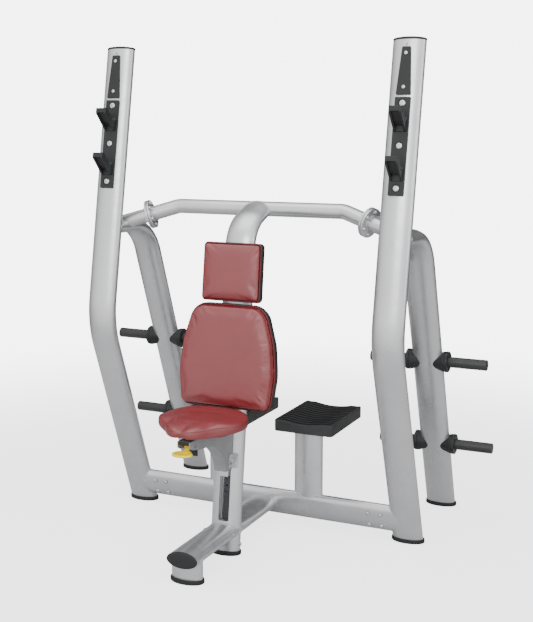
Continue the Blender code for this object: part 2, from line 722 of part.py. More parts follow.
# ---------------------------------------------------------------- base and post
def base_crossbar():
    """The oval tube between the front feet, coped to them and bolted to their sleeves."""
    ends = [Vector((side * HALF_SPAN, 0, 0)) for _, side in SIDES]
    bar = add_part("base_crossbar", tube(ends, BAR_HALF_HEIGHT, BAR_HALF_DEPTH, OVAL_WALL,
                                         BAR_AXES), "silver")
    for name, side in SIDES:
        boolean(bar, bpy.data.objects["upright_solid_" + name])
        bolts, holes = [], []
        for x in BAR_BOLT_X:
            for rise in (-BAR_BOLT_RISE, BAR_BOLT_RISE):
                depth = BAR_HALF_DEPTH * math.sqrt(1.0 - (rise / BAR_HALF_HEIGHT) ** 2)
                face = BAR_CENTRE + BAR_LEAN * rise + BAR_NORMAL * (depth + 0.0022)
                face.x = side * x
                bolts.append(bolt(face, BAR_NORMAL, 0.0085, 0.004, 0.004, 0.022))
                holes.append(drill(face, BAR_NORMAL, 0.0045, 0.024, 8))
        inside = BAR_HALF_DEPTH - 0.0145
        near, far = sorted(-side * x for x in BAR_BOLT_X)
        strip = box((near - 0.010, inside - 0.004, -0.033), (far + 0.010, inside, 0.033),
                    axes((-1, 0, 0), BAR_LEAN, BAR_CENTRE))
        united([strip, *bolts], "crossbar_bolts_" + name, "zinc")
        cutter = add_cutter("bar_holes_" + name, joined(holes))
        boolean(bar, cutter)
        boolean(bpy.data.objects["upright_" + name], cutter)


POST_FOOT = (POST_FOOT_Y + POST_SLOPE * SUNK, SUNK, 0)
POST_BEND = (POST_FOOT_Y + POST_SLOPE * POST_BEND_Z, POST_BEND_Z, 0)
POST_END = (TOP_MID[1], TOP_MID[2] + 0.001, 0)


def centre_post():
    """The long oval post, with its slot, its pad plates and its bend into the top tube."""
    path = fillet([POST_FOOT, POST_BEND, POST_END], [POST_RADIUS], 5)
    post = add_part("centre_post", tube(path, OVAL_WIDE, OVAL_THIN, OVAL_WALL, SIDE_PLANE),
                    "silver")
    solid = add_cutter("post_solid", rod(path, OVAL_WIDE + GAP, OVAL_THIN + GAP, SIDE_PLANE))
    bore = rod(path, OVAL_WIDE - OVAL_WALL - GAP, OVAL_THIN - OVAL_WALL - GAP, SIDE_PLANE)
    lumen = add_cutter("post_bore", bore)
    for index, (z, half) in enumerate(PAD_PLATES):
        frame = post_axes(z)
        block = add_cutter(f"pad_plate_{index}",
                           box((-0.032, OVAL_THIN - 0.006, -half), (0.032, PLATE_PROUD, half),
                               frame))
        boolean(block, lumen)
        boolean(post, block, "UNION")
    slot = add_cutter("post_slot", box((-SLOT_HALF_WIDTH, 0.010, 0.0),
                                       (SLOT_HALF_WIDTH, 0.060, (SLOT_TOP - SLOT_BOTTOM)),
                                       post_axes(SLOT_BOTTOM)))
    boolean(post, slot)
    tube_cut = add_cutter("top_tube_solid",
                          rod([Vector((-0.2, 0, 0)), Vector((0.2, 0, 0))],
                              TOP_TUBE_RADIUS + GAP, TOP_TUBE_RADIUS + GAP,
                              Matrix.Translation((0, TOP_MID[1], TOP_MID[2])), 16))
    boolean(post, tube_cut)
    boolean(post, GROUND_CUT)
    return solid


def post_axes(z):
    """Local X across, Y to the front and Z up the leaning post, from its axis."""
    return axes((-1, 0, 0), (0, POST_SLOPE, 1), (0, POST_FOOT_Y + POST_SLOPE * z, z))


def base_spine(post_solid):
    """Flat oval tube from the front foot to the post, and on from it to the crossbar."""
    lying = axes((0, 1, 0), (1, 0, 0), (0, 0, 0))
    bar_solid = add_cutter("bar_solid", rod([Vector((-0.6, 0, 0)), Vector((0.6, 0, 0))],
                                            BAR_HALF_HEIGHT + GAP, BAR_HALF_DEPTH + GAP,
                                            BAR_AXES))
    post_y = POST_FOOT_Y + POST_SLOPE * SPINE_Z
    front_path = [Vector((SPINE_FRONT_Y, SPINE_Z, 0)), Vector((post_y - 0.005, SPINE_Z, 0))]
    front = add_part("base_spine_front", tube(front_path, OVAL_WIDE, SPINE_HALF_THIN,
                                              OVAL_WALL, lying), "silver")
    boolean(front, post_solid)
    rear_path = [Vector((post_y + 0.005, SPINE_Z, 0)), Vector((BAR_CENTRE.y, SPINE_Z, 0))]
    rear = add_part("base_spine_rear", tube(rear_path, OVAL_WIDE, SPINE_HALF_THIN,
                                            OVAL_WALL, lying), "silver")
    boolean(rear, post_solid)
    boolean(rear, bar_solid)
    riser_path = [Vector((RISER_Y, SUNK, 0)), Vector((RISER_Y, SPINE_Z, 0))]
    riser = add_part("front_riser", tube(riser_path, OVAL_WIDE, OVAL_THIN, OVAL_WALL, lying),
                     "silver")
    boolean(riser, add_cutter("spine_solid", rod(front_path, OVAL_WIDE + GAP,
                                                 SPINE_HALF_THIN + GAP, lying)))
    boolean(riser, GROUND_CUT)
    cap_axes = axes((1, 0, 0), (0, -1, 0), (0, SPINE_FRONT_Y - GAP, SPINE_Z))
    cap_shape = cap_axes @ Matrix.Diagonal((1.0, 0.49, 1.0, 1.0))
    add_part("spine_end_cap", turned([(0.0600, 0.0), (0.0600, 0.002), (0.0575, 0.004)],
                                     cap_shape, RING), "plastic")
    return bar_solid


def feet():
    """Rubber cups under the six tube ends."""
    for name, side in SIDES:
        shift = Vector((side * HALF_SPAN, 0, 0))
        upright = stood(bpy.data.objects["upright_solid_" + name].data.copy(),
                        "upright_end_" + name)
        foot_cap("upright_" + name, shift.x, FOOT_Y + UPRIGHT_SLOPE_LOW * 0.008, upright)
        leg = stood(bpy.data.objects["leg_solid_" + name].data.copy(), "leg_end_" + name)
        foot_cap("leg_" + name, shift.x, leg_axis(0.008), leg)
    post = stood(bpy.data.objects["post_solid"].data.copy(), "post_end")
    foot_cap("post", 0.0, POST_FOOT_Y + POST_SLOPE * 0.008, post)
    riser = rod([Vector((RISER_Y, SUNK, 0)), Vector((RISER_Y, SPINE_Z, 0))],
                OVAL_WIDE + GAP, OVAL_THIN + GAP, SIDE_PLANE)
    foot_cap("front", 0.0, RISER_Y, stood(riser, "riser_end"))


# ---------------------------------------------------------------- spotter's steps
def step_pads(bar_solid):
    """Two ribbed steps, each on an oval post standing on the base crossbar."""
    for name, side in SIDES:
        x = side * STEP_X
        low = (x - STEP_HALF_WIDTH, STEP_FRONT, STEP_TOP - STEP_THICK)
        high = (x + STEP_HALF_WIDTH, STEP_BACK, STEP_TOP)
        pad = add_part("step_pad_" + name, soft_box(low, high, 0.014, 2, None, is_upright),
                       "rubber")
        hollow = turned([(0.34, -0.2), (0.34, 0.2)],
                        axes((1, 0, 0), (0, 1, 0), (x, (STEP_FRONT + STEP_BACK) / 2.0,
                                                    STEP_TOP + 0.34 - 0.009)), 64)
        boolean(pad, add_cutter("step_dish_" + name, hollow))
        stand = [Vector((STEP_POST_Y, BAR_Z + 0.025, 0)),
                 Vector((STEP_POST_Y, STEP_TOP - STEP_THICK - GAP, 0))]
        post = add_part("step_post_" + name,
                        tube(stand, 0.059, 0.0245, OVAL_WALL,
                             axes((0, 1, 0), (1, 0, 0), (side * STEP_POST_X, 0, 0))), "silver")
        boolean(post, bar_solid)


def is_upright(edge):
    run = edge.verts[1].co - edge.verts[0].co
    return abs(run.z) > 0.9 * run.length


# ---------------------------------------------------------------- pads
def leaning_plate(outline, low, high, z, radius=0.0):
    """An outline drawn (across, up the post), from `low` to `high` ahead of its axis."""
    lay = post_axes(z) @ Matrix.Translation((0, (low + high) / 2.0, 0))
    lay = lay @ Matrix.Rotation(math.radians(90), 4, "X")
    mesh = plate(outline, high - low, lay)
    if radius > 0.0:
        bm = bmesh.new()
        bm.from_mesh(mesh)
        sharp = [edge for edge in bm.edges if edge.calc_face_angle(0.0) > math.radians(60)]
        bmesh.ops.bevel(bm, geom=sharp, offset=radius, segments=2, profile=0.6,
                        affect="EDGES", clamp_overlap=True)
        bm.to_mesh(mesh)
        bm.free()
    return mesh


def inset(points, amount):
    """A convex outline of 2-D points drawn in towards its middle."""
    middle = sum((Vector((*point, 0)) for point in points), Vector()) / len(points)
    drawn = []
    for point in points:
        offset = Vector((*point, 0)) - middle
        shorter = offset * (1.0 - amount / offset.length)
        drawn.append((middle.x + shorter.x, middle.y + shorter.y))
    return drawn


def back_and_head():
    """The two upright cushions on their boards."""
    head = [(-0.1190, -0.1075), (0.1190, -0.1075), (0.1180, 0.1075), (-0.1180, 0.1075)]
    back = [(-0.1820, -0.1960), (0.1820, -0.1960), (0.1975, -0.0650), (0.1870, 0.0450),
            (0.1450, 0.1870), (-0.1450, 0.1870), (-0.1870, 0.0450), (-0.1975, -0.0650)]
    head_round = [0.016] * 4
    back_round = [0.035, 0.035, 0.20, 0.20, 0.075, 0.075, 0.20, 0.20]
    pads = (("head", HEAD_Z, head, head_round, HEAD_PROUD),
            ("back", BACK_Z, back, back_round, BACK_PROUD))
    for name, z, points, radii, proud in pads:
        board_top = PLATE_PROUD + GAP + BOARD_THICK
        add_part(name + "_board", leaning_plate(rounded(inset(points, 0.006), radii, 3),
                                                PLATE_PROUD + GAP, board_top, z), "board")
        add_part(name + "_pad", leaning_plate(rounded(points, radii, 3), board_top + GAP, proud,
                                              z, 0.012), "vinyl")


def seat_outline(turn):
    """Plan of the seat: wide and round at the back, drawn in to a blunt nose in front."""
    across = SEAT_HALF_WIDTH * math.cos(turn)
    along = SEAT_HALF_LENGTH * math.sin(turn)
    nose = max(0.0, -math.sin(turn))
    return across * (1.0 - 0.34 * nose ** 1.5), along


def seat_shape(low, high):
    """The seat's closed cushion: a squared ellipsoid bent down towards its nose."""
    bm = bmesh.new()
    bmesh.ops.create_uvsphere(bm, u_segments=20, v_segments=8, radius=1.0)
    for vert in bm.verts:
        turn = math.atan2(vert.co.y, vert.co.x)
        reach = math.hypot(vert.co.x, vert.co.y) ** 0.55
        x, y = seat_outline(turn)
        depth = math.copysign(abs(vert.co.z) ** 0.75, vert.co.z)
        y = y * reach
        front = max(0.0, (-y - SEAT_FLAT) / (SEAT_HALF_LENGTH - SEAT_FLAT))
        height = (low + high) / 2.0 + depth * (high - low) / 2.0
        vert.co = Vector((x * reach, SEAT_Y + y, height - SEAT_DROOP * front ** 2))
    mesh = bpy.data.meshes.new("seat_shape")
    bm.to_mesh(mesh)
    bm.free()
    return mesh


# ---------------------------------------------------------------- seat carriage
def side_outline(points, half_width, matrix=SIDE_PLANE):
    return plate([(*point, 0) for point in points], 2.0 * half_width, matrix)


def post_front():
    return Vector((0.0, -math.cos(POST_LEAN), math.sin(POST_LEAN)))


def carriage():
    """The carriage that slides on the post: an arched box with two open cheeks in front."""
    rear_low = post_point(0.3245, OVAL_THIN + 0.0015)
    rear_high = post_point(CARRIAGE_TOP_Z - 0.0045, OVAL_THIN + 0.0015)
    arch = [(-0.600 + 0.165 * math.sin(turn), 0.3145 + 0.1455 * math.cos(turn))
            for turn in (math.radians(step) for step in range(0, 85, 12))]
    body = [(-0.706, CARRIAGE_TOP_Z), (-0.706, 0.489), (-0.698, 0.482), (-0.686, 0.476)]
    body += arch + [(-0.4345, 0.3245), (rear_low.y, 0.3245), (rear_high.y, CARRIAGE_TOP_Z)]
    shell = add_part("seat_carriage", side_outline(body, CARRIAGE_HALF_WIDTH), "silver",
                     SEAT_SLIDE)
    boolean(shell, add_cutter("carriage_tongue", box((-0.016, 0.018, 0.0),
                                                     (0.016, 0.034, 0.140),
                                                     post_axes(0.340))), "UNION")
    mouth = [(-0.75, 0.43), (-0.636, 0.43), (-0.636, 0.495), (-0.75, 0.495)]
    boolean(shell, add_cutter("carriage_mouth",
                              side_outline(mouth, CARRIAGE_HALF_WIDTH - CHEEK)))
    bore = add_cutter("lock_bore", drill(post_point(LOCK_Z, 0.10), post_front(),
                                         LOCK_RADIUS + GAP, 0.24, 12))
    boolean(shell, bore)
    pivot = Vector((0.0, *LEVER_PIVOT))
    boolean(shell, add_cutter("pivot_bore",
                              drill(pivot, (1, 0, 0), PIN_RADIUS + 2 * GAP, 0.05, 12)))
    tip, tail = post_point(LOCK_Z, RACK_FACE + 0.0012), post_point(LOCK_Z, 0.286)
    length = (tail - tip).length
    profile = [(0.0040, 0.0), (LOCK_RADIUS, 0.006), (LOCK_RADIUS, length)]
    add_part("lock_pin", turned(profile, bolt_matrix(tip, post_front()), 12), "steel",
             SEAT_SLIDE)

    block = add_part("guide_block", box((-0.0185, 0.0150, 0.0), (0.0185, 0.0400, 0.024),
                                        post_axes(0.2905)), "zinc", SEAT_SLIDE)
    boolean(block, add_cutter("block_side", box((0.0150, 0.0335, -0.01), (0.03, 0.05, 0.04),
                                                post_axes(0.2905))))
    side, edge = CARRIAGE_HALF_WIDTH + GAP, CARRIAGE_HALF_WIDTH + GAP + 0.003
    angle = [(side, 0.0335), (0.051, 0.0335), (0.051, 0.0375), (edge, 0.0375), (edge, 0.060),
             (side, 0.060)]
    lean = post_axes(0.352)
    lay = Matrix((Vector((1, 0, 0)), post_front(), Vector((1, 0, 0)).cross(post_front())))
    lay = lay.transposed().to_4x4()
    lay.translation = lean.translation
    boss = turned([(0.009, -0.002), (0.009, 0.006), (0.0075, 0.008)],
                  bolt_matrix(post_axes(0.341) @ Vector((-0.039, 0.0375, 0)), post_front()), 12)
    united([plate([(*point, 0) for point in angle], 0.050, lay), boss], "guide_plate", "zinc",
           SEAT_SLIDE)


def release_lever():
    """The yellow paddle, its hub between the cheeks, and the pin through both."""
    pivot = Vector((0.0, *LEVER_PIVOT))
    hub = turned([(0.0105, -0.013), (0.0105, 0.013)], bolt_matrix(pivot, (1, 0, 0)), 14)
    centre = Vector((PADDLE_X, PADDLE_Y, PADDLE_Z))
    profile = [(0.90, -0.0045), (1.0, -0.002), (1.0, 0.002), (0.90, 0.0045)]
    oval = Matrix.Translation(centre) @ Matrix.Diagonal((PADDLE_WIDE, PADDLE_LONG, 1.0, 1.0))
    paddle = turned(profile, oval, 24)
    stem = [(pivot.y - 0.006, pivot.z + 0.004), (pivot.y + 0.004, pivot.z - 0.006),
            (centre.y + 0.026, centre.z - 0.003), (centre.y - 0.010, centre.z - 0.003),
            (centre.y - 0.010, centre.z + 0.003), (centre.y + 0.018, centre.z + 0.003)]
    lever = united([paddle, side_outline(stem, 0.009), hub], "release_lever", "yellow",
                   LEVER_HINGE)
    boolean(lever, bpy.data.objects["pivot_bore"])
    reach = CARRIAGE_HALF_WIDTH + 0.003
    add_part("lever_pin", turned([(PIN_RADIUS, -reach), (PIN_RADIUS, reach)],
                                 bolt_matrix(pivot, (1, 0, 0)), 10), "steel", SEAT_SLIDE)


def index_rack():
    """The drilled strip inside the post that the lock pin finds its stops on."""
    length = 0.375
    face = box((-0.0120, RACK_FACE - 0.005, 0.0), (0.0120, RACK_FACE, length),
               post_axes(0.127))
    web = box((-0.0025, -0.0262, 0.001), (0.0025, RACK_FACE - 0.002, length - 0.001),
              post_axes(0.127))
    rack = united([face, web], "index_rack", "steel")
    stops = [drill(post_point(LOCK_Z - 0.025 * step, RACK_FACE), post_front(), 0.0045, 0.004, 6)
             for step in range(9)]
    boolean(rack, add_cutter("rack_stops", joined(stops)))


def seat():
    """Board and cushion of the seat, on top of the carriage."""
    turns = [2.0 * math.pi * step / 24 for step in range(24)]
    outline = [(x * 0.86, y * (0.86 if y > 0.0 else 0.55), 0)
               for x, y in map(seat_outline, turns)]
    board = Matrix.Translation((0, SEAT_Y, SEAT_UNDER_Z - 0.006))
    add_part("seat_board", plate(outline, 0.0114, board), "board", SEAT_SLIDE)
    add_part("seat_pad", seat_shape(SEAT_UNDER_Z + GAP, SEAT_TOP_Z), "vinyl",
             SEAT_SLIDE)


def build():
    for name, side in SIDES:
        upright, leg, solid = side_frame(name, side)
        racks(name, side, upright, solid)
        top_cap(name, side)
        horns(name, side, leg)
    top_tube()
    base_crossbar()
    post_solid = centre_post()
    bar_solid = base_spine(post_solid)
    feet()
    step_pads(bar_solid)
    back_and_head()
    seat()
    carriage()
    release_lever()
    index_rack()


build()
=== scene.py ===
"""Looks of an upright bench for pressing a barbell overhead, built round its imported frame.

Places are worked out in bench coordinates: X across the bench, Y towards its back, Z up, with
the feet of the two uprights at Y = 0.  Layout.shift carries them into the frame, and each
piece keeps its place in its mesh.
"""
import logging
import math
from dataclasses import dataclass
from enum import Enum
from typing import Callable, Optional, Sequence, Union

import bmesh
import bpy
import numpy as np
from mathutils import Matrix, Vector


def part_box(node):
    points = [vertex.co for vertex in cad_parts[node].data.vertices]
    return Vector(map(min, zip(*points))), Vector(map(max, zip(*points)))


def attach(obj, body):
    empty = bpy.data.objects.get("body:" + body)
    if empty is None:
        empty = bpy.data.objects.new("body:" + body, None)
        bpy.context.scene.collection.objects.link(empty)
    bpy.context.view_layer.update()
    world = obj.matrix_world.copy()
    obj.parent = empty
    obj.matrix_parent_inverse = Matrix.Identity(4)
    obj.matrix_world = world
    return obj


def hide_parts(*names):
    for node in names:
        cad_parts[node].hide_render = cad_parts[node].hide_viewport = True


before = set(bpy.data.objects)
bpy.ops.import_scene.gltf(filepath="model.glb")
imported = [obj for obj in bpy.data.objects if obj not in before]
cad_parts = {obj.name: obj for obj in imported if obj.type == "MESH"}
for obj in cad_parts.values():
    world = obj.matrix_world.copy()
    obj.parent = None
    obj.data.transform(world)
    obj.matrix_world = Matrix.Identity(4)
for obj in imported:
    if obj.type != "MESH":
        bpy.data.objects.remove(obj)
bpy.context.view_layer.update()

LOG = logging.getLogger("bench")
Points = np.ndarray
X_AXIS = np.array((1.0, 0.0, 0.0))
Y_AXIS = np.array((0.0, 1.0, 0.0))
Z_AXIS = np.array((0.0, 0.0, 1.0))
SIDES = {"left": -1.0, "right": 1.0}


# ------------------------------------------------------------------ surfaces
def unit(vector: Sequence[float]) -> Points:
    """The vector or rows of vectors, each divided by its length."""
    rows = np.asarray(vector, float)
    return rows / np.linalg.norm(rows, axis=-1, keepdims=True)


@dataclass(frozen=True)
class Axes:
    """A place and three directions at right angles that a local shape is laid along."""

    x: Points
    y: Points
    z: Points
    origin: Points

    def place(self, points: Points) -> Points:
        """Local points carried to bench coordinates: origin + x, y and z times their parts."""
        local = np.asarray(points, float)
        return self.origin + local @ np.stack((self.x, self.y, self.z))

    def at(self, *local: float) -> Points:
        """One local point, in bench coordinates."""
        return self.place(np.array(local))

    def moved(self, *local: float) -> "Axes":
        """The same directions, from a local point."""
        return Axes(self.x, self.y, self.z, self.at(*local))

    def laid(self) -> "Axes":
        """Axes for a flat shape on this one's front: X to its left, Y up it, Z ahead of it."""
        return Axes(-self.x, self.z, self.y, self.origin)


def axes(near_x: Sequence[float], z: Sequence[float], origin: Sequence[float]) -> Axes:
    """Axes whose Z is exact and whose X is as near the given one as it can be.

    Args:
        near_x: direction that X keeps close to.
        z: direction of Z.
        origin: the point they meet in.

    Returns:
        The three unit directions and their origin.
    """
    up = unit(z)
    y = unit(np.cross(up, np.asarray(near_x, float)))
    return Axes(np.cross(y, up), y, up, np.asarray(origin, float))


@dataclass
class Surface:
    """A skin: its points, and its faces as lists of point numbers."""

    points: Points
    faces: list[list[int]]

    def placed(self, where: Axes) -> "Surface":
        """The same skin, laid along other axes."""
        return Surface(where.place(self.points), self.faces)

    def stretched(self, factors: Sequence[float] = (1.0, 1.0, 1.0),
                  offset: Sequence[float] = (0.0, 0.0, 0.0)) -> "Surface":
        """The same skin, multiplied along its three directions and then moved."""
        return Surface(self.points * factors + offset, self.faces)


def joined(surfaces: Sequence[Surface]) -> Surface:
    """Several skins as one, which keeps them apart as separate shells."""
    starts = np.cumsum([0] + [len(each.points) for each in surfaces])
    faces = [[start + n for n in face] for start, each in zip(starts, surfaces)
             for face in each.faces]
    return Surface(np.concatenate([each.points for each in surfaces]), faces)


def lattice(rows: Points, around: bool = True, along: bool = False,
            capped: bool = True) -> Surface:
    """Quads between neighbouring points of a grid of two parameters.

    Args:
        rows: points, as (row, column, 3).
        around: the last column joins the first.
        along: the last row joins the first.
        capped: the first and last rows are closed with a flat face each.

    Returns:
        The skin.
    """
    count, width = rows.shape[:2]
    low, left = np.meshgrid(np.arange(count if along else count - 1),
                            np.arange(width if around else width - 1), indexing="ij")
    high, right = (low + 1) % count, (left + 1) % width
    quads = np.stack((low * width + left, low * width + right, high * width + right,
                      high * width + left), -1).reshape(-1, 4).tolist()
    if capped and not along:
        quads.append(list(range(width))[::-1])
        quads.append(list(range((count - 1) * width, count * width)))
    return Surface(rows.reshape(-1, 3), quads)


def angles(count: int, offset: float = 0.0) -> Points:
    """Evenly spaced angles round a circle."""
    return offset + np.arange(count) * 2.0 * math.pi / count


def hexagon(turn: Points) -> Points:
    """Radius of a hexagon one unit across its flats' half: 1 over the cosine of the rest of 60°."""
    return 1.0 / np.cos(np.mod(turn, math.pi / 3.0) - math.pi / 6.0)


def turned(profile: Sequence[tuple], sides: int = 40, flats: Sequence[int] = (),
           ring: bool = False) -> Surface:
    """A profile turned about Z: x, y = radius times cosine and sine, z = height.

    Args:
        profile: (radius, height) pairs.
        sides: columns round the axis.
        flats: numbers of the profile's rings that are hexagons.
        ring: the profile closes on itself, and the shape has no ends.

    Returns:
        The closed skin, with flat ends unless it is a ring.
    """
    turn = angles(sides)
    radius = np.array([pair[0] for pair in profile])[:, None] * np.ones(sides)
    for row in flats:
        radius[row] *= hexagon(turn)
    height = np.array([pair[1] for pair in profile])[:, None] * np.ones(sides)
    rows = np.stack((radius * np.cos(turn), radius * np.sin(turn), height), -1)
    return lattice(rows, along=ring)


def route(corners: Sequence[Sequence[float]], radii: Sequence[float],
          step: float = 4.0) -> tuple[Points, Points]:
    """A path of straight runs with a circular arc at each inner corner.

    Args:
        corners: the path's ends and corners.
        radii: arc radius of each inner corner.
        step: degrees between points of an arc.

    Returns:
        The path's points, and the path's direction at each.
    """
    spots = [np.asarray(corner, float) for corner in corners]
    path, heading = [spots[0][None]], [unit(spots[1] - spots[0])[None]]
    for before, corner, after, radius in zip(spots, spots[1:], spots[2:], radii):
        back, ahead = unit(before - corner), unit(after - corner)
        half = math.acos(float(np.clip(back @ ahead, -1.0, 1.0))) / 2.0
        inward = unit(back + ahead)
        centre = corner + inward * radius / math.sin(half)
        sweep = math.pi - 2.0 * half
        turn = np.linspace(-sweep / 2.0, sweep / 2.0,
                           max(3, int(math.degrees(sweep) / step) + 1))[:, None]
        tangent = unit(ahead - back)
        path.append(centre - inward * radius * np.cos(turn) + tangent * radius * np.sin(turn))
        heading.append(tangent * np.cos(turn) + inward * np.sin(turn))
    path.append(spots[-1][None])
    heading.append(unit(spots[-1] - spots[-2])[None])
    return np.concatenate(path), np.concatenate(heading)


def rings(path: Points, heading: Points, lateral: Sequence[float], wide: float, thin: float,
          sides: int = 64) -> Points:
    """Oval sections carried along a path.

    Each is lateral * wide * cosine + (heading x lateral) * thin * sine about the path's point.

    Args:
        path: points of the path.
        heading: direction at each point.
        lateral: direction of the wide half axis, made square to the heading.
        wide: half axis along the lateral.
        thin: the other half axis.
        sides: points round the oval.

    Returns:
        The sections, as (row, column, 3).
    """
    turn = angles(sides)[None, :, None]
    across = np.asarray(lateral, float) - heading * (heading @ np.asarray(lateral, float))[:, None]
    across = unit(across)
    other = np.cross(heading, across)
    return (path[:, None] + across[:, None] * wide * np.cos(turn)
            + other[:, None] * thin * np.sin(turn))


def levelled(sections: Points, heading: Points, height: float) -> Points:
    """Sections whose first ring slides along the path until it lies level at a height."""
    first = sections[0]
    slide = (height - first[:, 2]) / heading[0][2]
    return np.concatenate(((first + slide[:, None] * heading[0])[None], sections[1:]))


@dataclass(frozen=True)
class Round:
    """An endless oval cylinder that other tubes end on."""

    centre: Points
    u: Points
    v: Points
    half_u: float
    half_v: float

    def meet(self, start: Points, direction: Points, far: bool = False) -> Points:
        """Where lines reach the cylinder: the root of |(P + t D)| = 1 in its unit section.

        A line that passes it by stops where it is nearest.

        Args:
            start: one point of each line.
            direction: the lines' common direction.
            far: takes the second root in place of the first.

        Returns:
            One point for each line.
        """
        offset = start - self.centre
        p = np.stack((offset @ self.u / self.half_u, offset @ self.v / self.half_v), -1)
        d = np.array((direction @ self.u / self.half_u, direction @ self.v / self.half_v))
        square = float(d @ d)
        half = p @ d
        inside = np.maximum(half ** 2 - square * ((p * p).sum(-1) - 1.0), 0.0)
        way = (-half + (1.0 if far else -1.0) * np.sqrt(inside)) / square
        return start + way[:, None] * direction


def bead(curve: Points, radius: float = 0.0022, sides: int = 8) -> Surface:
    """A weld: a small circle carried round a closed curve, its radius rippled like run metal.

    Args:
        curve: points of the closed curve.
        radius: size of the bead.
        sides: points round the bead.

    Returns:
        The closed ring.
    """
    heading = unit(np.roll(curve, -1, 0) - np.roll(curve, 1, 0) + 1e-9)
    helper = unit(np.cross(heading, unit(curve - curve.mean(0))))
    other = np.cross(heading, helper)
    turn = angles(sides)[None, :, None]
    ripple = radius * (1.0 + 0.10 * np.sin(np.arange(len(curve)) * 2.1))[:, None, None]
    sections = (curve[:, None] + helper[:, None] * ripple * np.cos(turn)
                + other[:, None] * ripple * np.sin(turn))
    return lattice(sections, along=True)


def resampled(curve: Points, spacing: float) -> Points:
    """A closed curve's points set evenly apart, read along its own length."""
    loop = np.concatenate((curve, curve[:1]))
    run = np.concatenate(([0.0], np.cumsum(np.linalg.norm(np.diff(loop, axis=0), axis=1))))
    count = max(12, int(run[-1] / spacing))
    station = np.linspace(0.0, run[-1], count, endpoint=False)
    return np.stack([np.interp(station, run, loop[:, axis]) for axis in range(3)], -1)


def rounded(corners: Sequence[tuple], radii: Union[float, Sequence[float]],
            step: float = 9.0) -> Points:
    """A closed outline in a plane, with an arc at each corner.

    Args:
        corners: the corners, as (x, y).
        radii: one arc radius for all, or one for each corner.
        step: degrees between points of an arc.

    Returns:
        The outline, as rows of x and y.
    """
    spots = [np.array((*corner, 0.0)) for corner in corners]
    each = [radii] * len(spots) if isinstance(radii, (int, float)) else list(radii)
    pieces = []
    for index, corner in enumerate(spots):
        before, after = spots[index - 1], spots[(index + 1) % len(spots)]
        if each[index] <= 0.0:
            pieces.append(corner[None])
            continue
        path, _ = route([before, corner, after], [each[index]], step)
        pieces.append(path[1:-1])
    return np.concatenate(pieces)[:, :2]


def prism(outline: Points, low: float, high: float, soft: float = 0.0) -> Surface:
    """An outline in X and Y raised from one height to another.

    Args:
        outline: rows of x and y.
        low: height of the lower face.
        high: height of the upper face.
        soft: the rim of both faces is drawn in and rounded by this much.

    Returns:
        The closed plate.
    """
    turn = np.linspace(0.0, math.pi / 2.0, 4) if soft > 0.0 else np.array([math.pi / 2.0])
    inset, rise = soft * (1.0 - np.sin(turn)), soft * (1.0 - np.cos(turn))
    insets = np.concatenate((inset, inset[::-1]))
    levels = np.concatenate((low + rise, high - rise[::-1]))
    rows = [np.column_stack((drawn_in(outline, amount), np.full(len(outline), level)))
            for amount, level in zip(insets, levels)]
    return lattice(np.stack(rows))


def drawn_in(outline: Points, amount: Union[float, Points]) -> Points:
    """An outline moved inwards along its own normals, taken from each point's neighbours."""
    if np.max(np.abs(amount)) < 1e-9:
        return outline
    run = unit(np.roll(outline, -1, 0) - outline + 1e-12)
    before = np.roll(run, 1, 0)
    normal = np.column_stack((-(run[:, 1] + before[:, 1]), run[:, 0] + before[:, 0]))
    area = np.sum(outline[:, 0] * np.roll(outline[:, 1], -1)
                  - np.roll(outline[:, 0], -1) * outline[:, 1])
    return outline + unit(normal) * (np.sign(area) * amount)


# ------------------------------------------------------------------ finishes
class Grain(Enum):
    """The small relief of a finish."""

    FINE = "fine"            # sprayed or moulded orange peel
    HIDE = "hide"            # creased cells of upholstery vinyl
    DRAWN = "drawn"          # lines left by drawing or brushing


@dataclass(frozen=True)
class Tree:
    """The nodes of one material or world, and the few patterns they are made with."""

    tree: bpy.types.NodeTree

    def fill(self, node: bpy.types.Node, inputs: dict) -> None:
        """Sets a node's inputs, or links them where the value is another node's output."""
        for key, value in inputs.items():
            if isinstance(value, bpy.types.NodeSocket):
                self.tree.links.new(value, node.inputs[key])
            else:
                node.inputs[key].default_value = value

    def add(self, kind: str, inputs: dict, **settings: object) -> bpy.types.NodeOutputs:
        """A new node.

        Args:
            kind: its type, without the common first word.
            inputs: values or outputs for its inputs, by name or number.
            settings: the node's own options.

        Returns:
            Its outputs.
        """
        node = self.tree.nodes.new("ShaderNode" + kind)
        for name, value in settings.items():
            setattr(node, name, value)
        self.fill(node, inputs)
        return node.outputs

    def noise(self, size: float, detail: float,
              stretch: tuple = (1.0, 1.0, 1.0)) -> bpy.types.NodeSocket:
        """A noise on Object coordinates, whose features are about `size` metres across."""
        place = self.add("Mapping", {"Vector": self.add("TexCoord", {})["Object"],
                                     "Scale": stretch})
        return self.add("TexNoise", {"Vector": place["Vector"], "Scale": 1.0 / size,
                                     "Detail": detail})["Fac"]

    def spread(self, source: bpy.types.NodeSocket, low: float, high: float, least: float = 0.3,
               most: float = 0.7, curve: str = "LINEAR") -> bpy.types.NodeSocket:
        """The range of a value between least and most, stretched to run from low to high."""
        return self.add("MapRange", {"Value": source, "From Min": least, "From Max": most,
                                     "To Min": low, "To Max": high},
                        interpolation_type=curve)["Result"]

    def sum(self, first: bpy.types.NodeSocket, second: bpy.types.NodeSocket,
            clamped: bool = False) -> bpy.types.NodeSocket:
        """Two values added, and held between 0 and 1 where that is asked."""
        return self.add("Math", {0: first, 1: second}, operation="ADD",
                        use_clamp=clamped)["Value"]

    def to_camera(self) -> bpy.types.NodeSocket:
        """1 for what the camera itself sees, and 0 for light that bounces."""
        return self.add("LightPath", {})["Is Camera Ray"]


